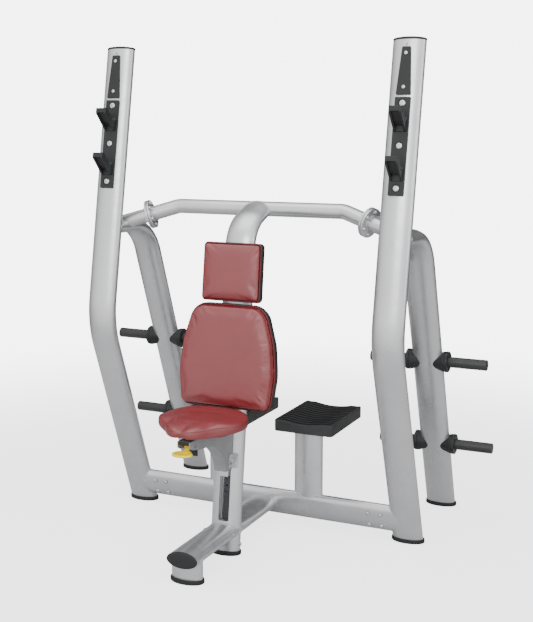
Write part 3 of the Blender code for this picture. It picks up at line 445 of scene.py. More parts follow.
@dataclass(frozen=True)
class Finish:
    """One finish of the bench, as colours, gloss and relief in real sizes."""

    name: str
    slot: Optional[str]
    colour: tuple
    shade: tuple                     # the colour it drifts to
    roughness: float
    grain: Grain = Grain.FINE
    metallic: float = 0.0
    grain_size: float = 0.0012
    relief: float = 0.00012
    fleck: float = 0.0               # share of fine flecks of the shade
    ior: float = 1.5
    coat: float = 0.0

    def pattern(self, tree: Tree) -> bpy.types.NodeSocket:
        """The finish's fine grain, as a value between 0 and 1."""
        if self.grain is Grain.HIDE:
            cells = tree.add("TexVoronoi", {"Vector": tree.add("TexCoord", {})["Object"],
                                            "Scale": 1.0 / self.grain_size},
                             feature="DISTANCE_TO_EDGE")
            return tree.spread(cells["Distance"], 0.0, 1.0, 0.0, 0.25)
        if self.grain is Grain.DRAWN:
            return tree.noise(self.grain_size, 2.0, (1.0, 1.0, 0.06))
        return tree.noise(self.grain_size, 3.0)

    def made(self) -> bpy.types.Material:
        """The finish as a material, built once.

        The colour drifts to the shade over broad clouds and fine flecks, the roughness varies
        a little with both, and the grain is pressed in as relief.

        Returns:
            The material, whose patterns all read Object coordinates.
        """
        known = bpy.data.materials.get(self.name)
        if known:
            return known
        material = bpy.data.materials.new(self.name)
        material.use_nodes = True
        tree = Tree(material.node_tree)
        fine = self.pattern(tree)
        drift = tree.sum(tree.spread(tree.noise(0.12, 4.0), 0.0, 0.5),
                         tree.spread(fine, 0.0, self.fleck), clamped=True)
        colour = tree.add("Mix", {"Factor": drift, "A": (*self.colour, 1.0),
                                  "B": (*self.shade, 1.0)}, data_type="RGBA")
        rough = tree.sum(tree.spread(tree.noise(0.035, 5.0), -0.05, 0.05),
                         tree.spread(fine, self.roughness - 0.03, self.roughness + 0.03))
        bump = tree.add("Bump", {"Height": fine, "Strength": 0.6, "Distance": self.relief})
        tree.fill(material.node_tree.nodes["Principled BSDF"],
                  {"Base Color": colour["Result"], "Roughness": rough, "Normal": bump["Normal"],
                   "Metallic": self.metallic, "IOR": self.ior, "Coat Weight": self.coat,
                   "Coat Roughness": 0.2})
        return material


SILVER = Finish("silver_coat", "silver_paint", (0.60, 0.605, 0.62), (0.50, 0.505, 0.52), 0.32,
                metallic=0.82, grain_size=0.0010, relief=0.00006, fleck=0.35, coat=0.15)
CAST_SILVER = Finish("speckled_coat", "silver_paint", (0.34, 0.345, 0.355),
                     (0.20, 0.203, 0.21), 0.5, metallic=0.3, grain_size=0.0016,
                     relief=0.00012, fleck=0.7)
WELD = Finish("weld_coat", "silver_paint", (0.50, 0.505, 0.52), (0.42, 0.425, 0.44), 0.4,
              metallic=0.35, grain_size=0.0016, relief=0.00010, fleck=0.3, coat=0.15)
HORN_GREY = Finish("horn_coat", "grey_horn", (0.034, 0.035, 0.036), (0.020, 0.021, 0.022), 0.40,
                   ior=1.36, grain_size=0.0012, relief=0.00006, fleck=0.3)
BLACK = Finish("black_moulding", "black_plastic", (0.024, 0.025, 0.026), (0.014, 0.015, 0.015),
               0.44, ior=1.33, grain_size=0.0011, relief=0.00010, fleck=0.3)
# A darker copy of black plastic: painted shade for the hollows and recesses it is put in.
SHADED_BLACK = Finish("black_painted_shade", "black_plastic", (0.012, 0.012, 0.013), (0.008, 0.008, 0.009),
                0.7, grain_size=0.0011, relief=0.00010, fleck=0.3)
RUBBER = Finish("foot_rubber", "black_rubber", (0.018, 0.019, 0.019), (0.011, 0.011, 0.012),
                0.62, ior=1.35, grain_size=0.0014, relief=0.00016, fleck=0.4)
# The step's one black rubber in two tones: the ribbed top painted darker as shade, the block's
# sides painted lighter as lit.
STEP_TOP_SHADED = Finish("step_rubber_shaded_top", "black_rubber", (0.005, 0.005, 0.006), (0.003, 0.003, 0.003),
               0.62, ior=1.28, grain_size=0.0016, relief=0.00020, fleck=0.4)
STEP_SIDE_LIT = Finish("step_rubber_lit_side", "black_rubber", (0.034, 0.035, 0.036),
                    (0.022, 0.023, 0.024), 0.52, ior=1.36, grain_size=0.0012,
                    relief=0.00012, fleck=0.3)
BOARD = Finish("board_moulding", "black_board", (0.020, 0.022, 0.021), (0.011, 0.013, 0.012),
               0.5, ior=1.36, grain_size=0.0018, relief=0.00022, fleck=0.4)
VINYL = Finish("burgundy_vinyl", "red_vinyl", (0.185, 0.010, 0.014), (0.145, 0.007, 0.010),
               0.42, grain=Grain.HIDE, grain_size=0.0024, relief=0.00010, fleck=0.15, ior=1.75)
THREAD = Finish("seam_thread", "red_vinyl", (0.16, 0.012, 0.016), (0.10, 0.008, 0.010), 0.6,
                grain_size=0.0006, relief=0.00008, fleck=0.4)
ZINC = Finish("zinc_plate", "bright_zinc", (0.62, 0.62, 0.63), (0.46, 0.46, 0.48), 0.30,
              grain=Grain.DRAWN, metallic=0.85, grain_size=0.0008, relief=0.00003, fleck=0.2)
STEEL = Finish("drawn_steel", "bare_steel", (0.42, 0.43, 0.45), (0.28, 0.285, 0.30), 0.32,
               grain=Grain.DRAWN, metallic=1.0, grain_size=0.0008, relief=0.00004, fleck=0.4)
DARK_STEEL = Finish("oiled_steel", "bare_steel", (0.060, 0.062, 0.066), (0.030, 0.031, 0.033),
                    0.5, metallic=0.5, grain_size=0.0016, relief=0.00020, fleck=0.6)
YELLOW = Finish("yellow_moulding", "yellow_plastic", (0.95, 0.70, 0.004), (0.84, 0.58, 0.003),
                0.36, grain_size=0.0012, relief=0.00006, fleck=0.2, ior=1.35)
FLOOR = Finish("pale_floor", None, (0.55, 0.55, 0.55), (0.52, 0.52, 0.52), 0.75,
               grain_size=0.004, relief=0.00008, fleck=0.3)


# ------------------------------------------------------------------ making pieces
def mesh_of(surface: Surface, name: str = "shape") -> bpy.types.Mesh:
    """A skin as a mesh, welded at its poles and seams and facing outwards.

    Args:
        surface: the skin.
        name: the mesh's name.

    Returns:
        The mesh.
    """
    mesh = bpy.data.meshes.new(name)
    mesh.from_pydata(surface.points.tolist(), [], surface.faces)
    bm = bmesh.new()
    bm.from_mesh(mesh)
    bmesh.ops.remove_doubles(bm, verts=bm.verts, dist=0.000002)
    bmesh.ops.dissolve_degenerate(bm, edges=bm.edges, dist=0.000001)
    bmesh.ops.recalc_face_normals(bm, faces=bm.faces)
    bm.to_mesh(mesh)
    bm.free()
    return mesh


def coordinates(mesh: bpy.types.Mesh, value: str = "co") -> Points:
    """A mesh's points, or their normals, as rows."""
    flat = np.empty(len(mesh.vertices) * 3)
    mesh.vertices.foreach_get(value, flat)
    return flat.reshape(-1, 3)


def evaluated(obj: bpy.types.Object) -> bpy.types.Mesh:
    """The mesh that an object's modifiers make; the object is removed."""
    bpy.context.view_layer.update()
    mesh = bpy.data.meshes.new_from_object(
        obj.evaluated_get(bpy.context.evaluated_depsgraph_get()))
    bpy.data.objects.remove(obj, do_unlink=True)
    return mesh


def helper(mesh: bpy.types.Mesh, name: str) -> bpy.types.Object:
    """A passing object that only lasts while a mesh is worked on."""
    obj = bpy.data.objects.new(name, mesh)
    bpy.context.scene.collection.objects.link(obj)
    return obj


def carved(base: Surface, added: Sequence[Surface] = (),
           removed: Sequence[Surface] = ()) -> bpy.types.Mesh:
    """A closed shape with others united to it and then cut from it.

    Args:
        base: the shape to start from.
        added: closed shapes that join it.
        removed: closed shapes that are taken away.

    Returns:
        The finished mesh.
    """
    body = helper(mesh_of(base), "carved_body")
    tools = []
    for operation, shapes in (("UNION", added), ("DIFFERENCE", removed)):
        for shape in shapes:
            tool = helper(mesh_of(shape), "carving_tool")
            modifier = body.modifiers.new("carve", "BOOLEAN")
            modifier.operation, modifier.object = operation, tool
            modifier.solver = "EXACT"
            tools.append(tool)
    mesh = evaluated(body)
    for tool in tools:
        bpy.data.objects.remove(tool, do_unlink=True)
    return mesh


def piece(name: str, shape: Union[Surface, bpy.types.Mesh], finish: Finish, body: str = "frame",
          stands_for: Sequence[str] = (), sharp: float = 35.0,
          bevel: float = 0.0) -> bpy.types.Object:
    """One visible piece, in bench coordinates, riding on its body.

    Args:
        name: the piece's name.
        shape: its skin or its mesh.
        finish: what it is covered with.
        body: the moving body that carries it.
        stands_for: the frame's solids that it is shown in place of.
        sharp: edges above this angle, in degrees, stay crisp.
        bevel: width of the rounding on sharp edges.

    Returns:
        The piece.
    """
    mesh = mesh_of(shape, name) if isinstance(shape, Surface) else shape
    places = coordinates(mesh) + (0.0, LAYOUT.shift, 0.0)
    mesh.vertices.foreach_set("co", places.ravel())
    mesh.update()
    mesh.shade_smooth()
    mesh.set_sharp_from_angle(angle=math.radians(sharp))
    mesh.materials.clear()
    mesh.materials.append(finish.made())
    obj = bpy.data.objects.new(name, mesh)
    bpy.context.scene.collection.objects.link(obj)
    if bevel > 0.0:
        rounding = obj.modifiers.new("rounded_edges", "BEVEL")
        rounding.width, rounding.segments = bevel, 2
        rounding.limit_method, rounding.angle_limit = "ANGLE", math.radians(sharp)
        rounding.harden_normals = True
    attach(obj, body)
    if stands_for:
        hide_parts(*stands_for)
    LOG.info("%s: %d faces on %s", name, len(mesh.polygons), body)
    return obj


def weld(name: str, seams: Sequence[Points], radius: float = 0.0022) -> None:
    """A piece made of weld beads, one round each closed curve, with a point every 4 mm."""
    piece(name, joined([bead(resampled(seam, 0.004), radius) for seam in seams]), WELD)


# ------------------------------------------------------------------ layout
@dataclass(frozen=True)
class Layout:
    """Centre lines that more than one sub-assembly is set out from, in bench coordinates."""

    shift: float
    half_span: float
    kink: tuple = (-0.305, 0.8095)        # y and z where the uprights bend
    top: tuple = (-0.113, 1.866)
    leg_foot: float = 0.460
    leg_slope: float = 0.378
    post_foot: float = -0.4008
    post_slope: float = 0.1235
    oval: tuple = (0.060, 0.030)          # half axes of the frame tube
    ground: float = 0.005                 # where tubes stand in their rubber feet
    start: float = 0.03                   # a tube's first station, before it is levelled
    cup_z: float = 0.008                  # height that the place of a foot is read at

    @property
    def low_slope(self) -> float:
        """Lean of the uprights below their bend."""
        return self.kink[0] / self.kink[1]

    @property
    def high_slope(self) -> float:
        """Lean of the uprights above their bend."""
        return (self.top[0] - self.kink[0]) / (self.top[1] - self.kink[1])

    def upright_y(self, z: float) -> float:
        """Y of an upright's centre line at a height, as if its bend were sharp."""
        if z < self.kink[1]:
            return self.low_slope * z
        return self.kink[0] + self.high_slope * (z - self.kink[1])

    def leg_y(self, z: float) -> float:
        """Y of a rear leg's centre line at a height."""
        return self.leg_foot - self.leg_slope * z

    def rack_axes(self, side: float, z: float, proud: float = 0.036) -> Axes:
        """X to the bench's left, Y to the front, Z up the upright; level at `proud` with z.

        Args:
            side: -1 for the left upright, 1 for the right.
            z: height of the point that stands proud.
            proud: how far in front of the centre line that point is.

        Returns:
            Axes whose origin is on the upright's centre line.
        """
        lean = unit((0.0, self.high_slope, 1.0))
        front = np.cross(X_AXIS, lean)
        station = z - proud * front[2]
        return axes(-X_AXIS, lean, (side * self.half_span, self.upright_y(station), station))

    def post_axes(self, z: float) -> Axes:
        """X to the bench's left, Y to the front, Z up the centre post, from its centre line."""
        return axes(-X_AXIS, (0.0, self.post_slope, 1.0),
                    (0.0, self.post_foot + self.post_slope * z, z))

    def foot_cup(self, name: str, x: float, y: float) -> None:
        """A rubber cup under a tube: a turned rim squeezed to an oval, with a groove round it."""
        profile = [(0.0610, 0.0), (0.0630, 0.0004), (0.0645, 0.0018), (0.0650, 0.0036),
                   (0.0650, 0.0062), (0.0643, 0.0068), (0.0643, 0.0076), (0.0650, 0.0082),
                   (0.0648, 0.0140), (0.0640, 0.0154), (0.0625, 0.0160), (0.0600, 0.0156)]
        cup = turned(profile, 72).stretched((1.0, 0.585, 1.0), (x, y, 0.0))
        piece("rubber_foot_" + name, cup, RUBBER, stands_for=["foot_cap_" + name])


def middle_of(node: str) -> Points:
    """Middle of a frame node's box."""
    low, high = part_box(node)
    return (np.array(low) + np.array(high)) / 2.0


RISER_Y = -0.690                          # the riser under the front end of the spine
LAYOUT = Layout(shift=float(middle_of("foot_cap_front")[1]) - RISER_Y,
                half_span=float(middle_of("foot_cap_upright_right")[0]))


def button_bolt(radius: float, height: float, socket: float) -> Surface:
    """A domed head with a washer skirt and a hexagon socket, standing on Z = 0."""
    profile = [(radius, 0.0), (radius, height * 0.30), (radius * 0.97, height * 0.48),
               (radius * 0.88, height * 0.74), (radius * 0.74, height * 0.93),
               (radius * 0.60, height), (socket, height), (socket * 0.96, height - 0.0002),
               (socket * 0.94, height * 0.35), (socket * 0.5, height * 0.30)]
    return turned(profile, 36, flats=(7, 8))


def hex_bolt(across: float, height: float) -> Surface:
    """A hexagon head on a washer; its top rim is turned down to a round chamfer."""
    profile = [(across * 1.28, 0.0), (across * 1.30, 0.0004), (across * 1.30, 0.0012),
               (across * 1.25, 0.0016), (across, 0.0016), (across, height - 0.0012),
               (across * 0.985, height - 0.0004), (across * 0.90, height)]
    return turned(profile, 48, flats=(4, 5))


# ------------------------------------------------------------------ side frames
@dataclass(frozen=True)
class SideFrame:
    """One side of the bench: the bent upright, the rear leg that meets it, and their ends."""

    name: str
    side: float
    kink_radius: float = 0.35
    leg_shoulder: float = 1.177
    leg_end: float = -0.231
    leg_radius: float = 0.180

    def sections(self, corners: list[tuple], radius: float) -> tuple[Points, Points]:
        """Oval sections along a bent centre line that starts level, inside its rubber foot.

        Args:
            corners: (y, z) of the centre line's ends and bend.
            radius: radius of the bend.

        Returns:
            The sections, and the heading at each.
        """
        x = self.side * LAYOUT.half_span
        path, heading = route([(x, *corner) for corner in corners], [radius], 2.0)
        ovals = rings(path, heading, X_AXIS, *LAYOUT.oval)
        return levelled(ovals, heading, LAYOUT.ground), heading

    def upright(self) -> None:
        """The upright, its domed cap and the small screw under the cap."""
        foot = (LAYOUT.upright_y(LAYOUT.start), LAYOUT.start)
        ovals, _ = self.sections([foot, LAYOUT.kink, LAYOUT.top], self.kink_radius)
        piece("upright_tube_" + self.name, lattice(ovals), SILVER,
              stands_for=["upright_" + self.name])
        top = LAYOUT.rack_axes(self.side, LAYOUT.top[1], 0.0)
        cap = turned([(0.0598, -0.004), (0.0612, 0.0003), (0.0616, 0.0012), (0.0610, 0.0026),
                      (0.0570, 0.0046), (0.0480, 0.0062), (0.0320, 0.0073), (0.0120, 0.0077)],
                     72).stretched((1.0, 0.515, 1.0))
        piece("dome_cap_" + self.name, cap.placed(top), BLACK,
              stands_for=["upright_cap_" + self.name])
        screw = LAYOUT.rack_axes(self.side, LAYOUT.top[1] - 0.016)
        seat = axes(X_AXIS, screw.y, screw.at(0.0, LAYOUT.oval[1] - 0.0012, 0.0))
        piece("cap_screw_" + self.name,
              turned([(0.0040, 0.0), (0.0038, 0.0014), (0.0024, 0.0016), (0.0020, 0.0002)], 24)
              .placed(seat), DARK_STEEL)

    def rear_leg(self) -> None:
        """The rear leg, whose shoulder runs into the back of the upright, and its weld."""
        end = (self.leg_end, self.leg_shoulder + 0.006)
        corners = [(LAYOUT.leg_y(z), z) for z in (LAYOUT.start, self.leg_shoulder)] + [end]
        ovals, heading = self.sections(corners, self.leg_radius)
        piece("rear_leg_tube_" + self.name, lattice(ovals), SILVER,
              stands_for=["rear_leg_" + self.name])
        frame_axes = LAYOUT.rack_axes(self.side, end[1], 0.0)
        tube = Round(frame_axes.origin, X_AXIS, frame_axes.y, *LAYOUT.oval)
        seam = tube.meet(ovals[-2], heading[-1])
        weld("leg_weld_" + self.name, [seam])

    def build(self) -> None:
        """Makes the side frame and the cups it stands in."""
        self.upright()
        self.rear_leg()
        x, z = self.side * LAYOUT.half_span, LAYOUT.cup_z
        LAYOUT.foot_cup("upright_" + self.name, x, LAYOUT.upright_y(z))
        LAYOUT.foot_cup("leg_" + self.name, x, LAYOUT.leg_y(z))


@dataclass(frozen=True)
class BarRack:
    """The black rack on one upright: a plate with two hooks, the guard above, and the bolts."""

    name: str
    side: float
    bottom: float = 1.334
    top: float = 1.670
    half_width: float = 0.028
    proud: float = 0.036
    bolts: tuple = (1.3595, 1.504, 1.649)
    hooks: tuple = (1.472, 1.640)
    hook_half: float = 0.022
    cheek: float = 0.007
    reach: float = 0.112
    guard: tuple = (1.678, 1.842)
    guard_half: tuple = (0.0265, 0.0155)
    guard_bolts: tuple = (1.704, 1.8197)
    bolt: tuple = (0.0115, 0.0050, 0.0042)        # radius, height and socket of a head
    small_bolt: tuple = (0.0065, 0.0030, 0.0024)
    sink: float = 0.0027                          # depth that the plate's heads are sunk by

    def lying(self, z: float, depth: float = 0.0) -> Axes:
        """Axes that lay a flat outline on the rack: X across, Y up the upright, Z to the front."""
        return LAYOUT.rack_axes(self.side, z).laid().moved(0.0, 0.0, depth)

    def standing(self, z: float) -> Axes:
        """Axes for a side view: X to the front, Y up the upright, Z across the bench."""
        at = LAYOUT.rack_axes(self.side, z, self.reach)
        return Axes(at.y, at.z, np.cross(at.y, at.z), at.origin)

    def hook_outline(self) -> Points:
        """A hook from the side: long underside, flat lip, ramp, and a round seat for the bar."""
        face, far, drop = self.proud, self.reach, -0.023
        seat = np.linspace(0.0, math.pi, 19)[:, None]
        bowl = np.hstack((face + 0.016 + 0.016 * np.cos(seat), drop - 0.016 * np.sin(seat)))
        lip = rounded([(face - 0.006, -0.078), (face + 0.008, -0.074), (far, -0.021),
                       (far, 0.0), (far - 0.014, 0.0), (far - 0.019, -0.006),
                       (face + 0.032, drop)],
                      [0.0, 0.006, 0.003, 0.003, 0.003, 0.004, 0.0])
        return np.concatenate((lip, bowl[1:], [(face - 0.006, drop)]))

    def hollow_outline(self) -> Points:
        """The hollow between a hook's cheeks, open below and in front."""
        face, far = self.proud, self.reach
        return rounded([(face + 0.004, -0.056), (face + 0.034, -0.044), (far - 0.010, -0.018),
                        (far + 0.02, -0.018), (far + 0.02, -0.10), (face + 0.004, -0.10)],
                       [0.003, 0.02, 0.003, 0.0, 0.0, 0.0])

    def plate(self, low: float, high: float, half_low: float, half_high: float) -> Surface:
        """A rounded backing plate between two heights, sunk a little into the upright."""
        middle = (low + high) / 2.0
        half = (high - low) / 2.0 * math.hypot(1.0, LAYOUT.high_slope)
        outline = rounded([(-half_low, -half), (half_low, -half), (half_high, half),
                           (-half_high, half)], 0.0035)
        return prism(outline, 0.020, self.proud).placed(self.lying(middle))

    def build(self) -> None:
        """Makes the rack, thin sheets of painted shade along the bottoms of its hollows, the guard
        and the bolts.
        """
        hooks = [prism(self.hook_outline(), -self.hook_half, self.hook_half)
                 .placed(self.standing(top)) for top in self.hooks]
        inside = self.hook_half - self.cheek
        hollows = [prism(self.hollow_outline(), -inside, inside).placed(self.standing(top))
                   for top in self.hooks]
        sinks = [turned([(0.0145, -self.sink), (0.0145, 0.02)], 40)
                 .placed(self.lying(z, self.proud)) for z in self.bolts]
        rack = carved(self.plate(self.bottom, self.top, self.half_width, self.half_width),
                      hooks, hollows + sinks)
        piece("bar_rack_" + self.name, rack, BLACK, stands_for=["rack_" + self.name],
              bevel=0.0011)
        # Thin sheets in the darker black along the bottom of each hook's hollow: painted shade, not
        # a part of the rack.
        shade_outline = rounded([(self.proud + 0.0044, -0.0558), (self.proud + 0.034, -0.0444),
                         (self.reach - 0.0106, -0.0186), (self.reach - 0.0116, -0.0176),
                         (self.proud + 0.034, -0.0424), (self.proud + 0.0034, -0.0540)], 0.0)
        shade_sheets = [prism(shade_outline, -inside - 0.0004, inside + 0.0004).placed(self.standing(top))
                  for top in self.hooks]
        piece("rack_painted_shade_" + self.name, joined(shade_sheets), SHADED_BLACK)
        piece("bar_guard_" + self.name, self.plate(*self.guard, *self.guard_half), BLACK,
              stands_for=["guard_" + self.name], bevel=0.0012)
        heads = [button_bolt(*self.bolt).placed(self.lying(z, self.proud - self.sink))
                 for z in self.bolts]
        heads += [button_bolt(*self.small_bolt).placed(self.lying(z, self.proud))
                  for z in self.guard_bolts]
        piece("rack_screws_" + self.name, joined(heads), ZINC,
              stands_for=["rack_bolts_" + self.name])


@dataclass(frozen=True)
class WeightHorns:
    """The two storage horns through one rear leg, with a coned collar on each face of it."""

    name: str
    side: float
    heights: tuple = (0.299, 0.667)
    radius: float = 0.021
    reach: float = 0.234

    def horn(self, label: str, where: Axes) -> None:
        """One bar with chamfered, slightly hollowed ends."""
        r, end = self.radius, self.reach
        half = [(r, 0.0), (r, end - 0.0022), (r - 0.0006, end - 0.0008), (r - 0.0022, end),
                (r - 0.0050, end), (r - 0.0056, end - 0.0005), (0.0030, end - 0.0006)]
        profile = [(x, -z) for x, z in half[:0:-1]] + half
        piece("horn_bar_" + label, turned(profile, 56).placed(where), HORN_GREY,
              stands_for=["weight_horn_" + label])

    def collar(self, label: str, face: str, where: Axes) -> None:
        """A collar: a cone that grows out of the leg, a groove, and a flat ring."""
        profile = [(0.0215, 0.018), (0.0250, 0.0182), (0.0275, 0.028), (0.0318, 0.040),
                   (0.0352, 0.052), (0.0382, 0.060), (0.0398, 0.0655), (0.0402, 0.0680),
                   (0.0392, 0.0694), (0.0390, 0.0706), (0.0404, 0.0716), (0.0410, 0.0730),
                   (0.0410, 0.0815), (0.0404, 0.0832), (0.0390, 0.0840), (0.0300, 0.0840),
                   (0.0255, 0.0836), (0.0245, 0.0822), (0.0225, 0.0815), (0.0214, 0.0815)]
        piece(f"collar_{label}_{face}", turned(profile, 64, ring=True).placed(where), BLACK,
              stands_for=[f"horn_collar_{label}_{face}"])

    def build(self) -> None:
        """Makes both horns and their four collars."""
        for level, z in zip(("lower", "upper"), self.heights):
            label = f"{self.name}_{level}"
            spot = (self.side * LAYOUT.half_span, LAYOUT.leg_y(z), z)
            self.horn(label, axes(Y_AXIS, X_AXIS * self.side, spot))
            for face, way in (("outer", 1.0), ("inner", -1.0)):
                self.collar(label, face, axes(Y_AXIS, X_AXIS * self.side * way, spot))


# ------------------------------------------------------------------ top tube
@dataclass(frozen=True)
class TopTube:
    """The round tube across the top: it bends down to a bolted flange at each end."""

    radius: float = 0.0283
    bend: tuple = (0.345, -0.0985, 1.262)
    flange: tuple = (0.455, -0.1307, 1.228)
    end: tuple = (0.560, -0.1604, 1.1967)
    disc_radius: float = 0.056
    disc_thick: float = 0.008
    shim: float = 0.002
    bolt_circle: float = 0.043
    bolt_across: float = 0.0062           # half the width across a head's flats
    head_height: float = 0.0068
    nut_height: float = 0.0064

    def mirrored(self, side: float, point: tuple) -> Points:
        """A right-hand point on the named side."""
        return np.array(point) * (side, 1.0, 1.0)

    def outward(self, side: float) -> Points:
        """Direction from the bend out to a flange."""
        return unit(self.mirrored(side, self.flange) - self.mirrored(side, self.bend))

    def disc(self, centre: Points, direction: Points) -> Surface:
        """A flange disc with eased rims, in the middle of its thickness."""
        half, r = self.disc_thick / 2.0, self.disc_radius
        profile = [(0.010, -half), (r - 0.0012, -half), (r - 0.0003, -half + 0.0005),
                   (r, -half + 0.0014), (r, half - 0.0014), (r - 0.0003, half - 0.0005),
                   (r - 0.0012, half), (0.010, half)]
        return turned(profile, 72).placed(axes(Y_AXIS, direction, centre))

    def collar_weld(self, centre: Points, direction: Points) -> Surface:
        """The weld where the tube meets the face of a flange disc."""
        turn = angles(72)[:, None]
        ring = np.hstack((np.cos(turn), np.sin(turn), np.zeros_like(turn)))
        where = axes(Y_AXIS, direction, centre)
        return bead(where.place(ring * (self.radius + 0.0004)), 0.0030)

    def build(self) -> None:
        """Makes the crossbar, both stubs with their flanges and welds, and the bolts."""
        set_back = self.shim / 2.0 + self.disc_thick / 2.0
        joints = [self.mirrored(side, self.flange) for side in SIDES.values()]
        ends = [joint - self.outward(side) * set_back
                for joint, side in zip(joints, SIDES.values())]
        path, heading = route([ends[0], self.mirrored(-1.0, self.bend),
                               self.mirrored(1.0, self.bend), ends[1]], [0.075, 0.075], 2.5)
        tube = lattice(rings(path, heading, Z_AXIS, self.radius, self.radius, 56))
        discs = [self.disc(end, self.outward(side)) for end, side in zip(ends, SIDES.values())]
        piece("top_tube", joined([tube, *discs]), SILVER, stands_for=["top_crossbar"])
        welds = []
        for (name, side), joint in zip(SIDES.items(), joints):
            out = self.outward(side)
            near = joint + out * set_back
            run = np.stack((near, self.mirrored(side, self.end)))
            stub = lattice(rings(run, np.stack((out, out)), Z_AXIS, self.radius, self.radius, 56))
            piece("top_stub_tube_" + name, joined([stub, self.disc(near, out)]), SILVER,
                  stands_for=["top_stub_" + name])
            offset = self.disc_thick / 2.0 + 0.0006
            welds += [self.collar_weld(joint - out * (set_back + offset), out),
                      self.collar_weld(near + out * offset, out)]
            self.fasteners(name, joint, out)
        piece("flange_welds", joined(welds), WELD)

    def fasteners(self, name: str, joint: Points, out: Points) -> None:
        """Six bolts round one flange: heads on the inner face, nuts and thread on the outer."""
        grip = self.shim / 2.0 + self.disc_thick
        ring = axes(Y_AXIS, out, joint)
        shapes = []
        for turn in angles(6, math.pi / 6.0):
            spot = np.array((math.cos(turn), math.sin(turn), 0.0)) * self.bolt_circle
            head, nut = ring.at(*spot + (0, 0, -grip)), ring.at(*spot + (0, 0, grip))
            shapes += [hex_bolt(self.bolt_across, self.head_height)
                       .placed(axes(Y_AXIS, -out, head)),
                       hex_bolt(self.bolt_across, self.nut_height)
                       .placed(axes(Y_AXIS, out, nut)),
                       turned([(0.0038, 0.006), (0.0038, 0.0080), (0.0030, 0.0088)], 20)
                       .placed(axes(Y_AXIS, out, nut))]
        shapes.append(turned([(self.bolt_circle + 0.008, -0.0007),
                              (self.bolt_circle + 0.008, 0.0007)], 64).placed(ring))
        piece("flange_fasteners_" + name, joined(shapes), ZINC,
              stands_for=["flange_bolts_" + name])


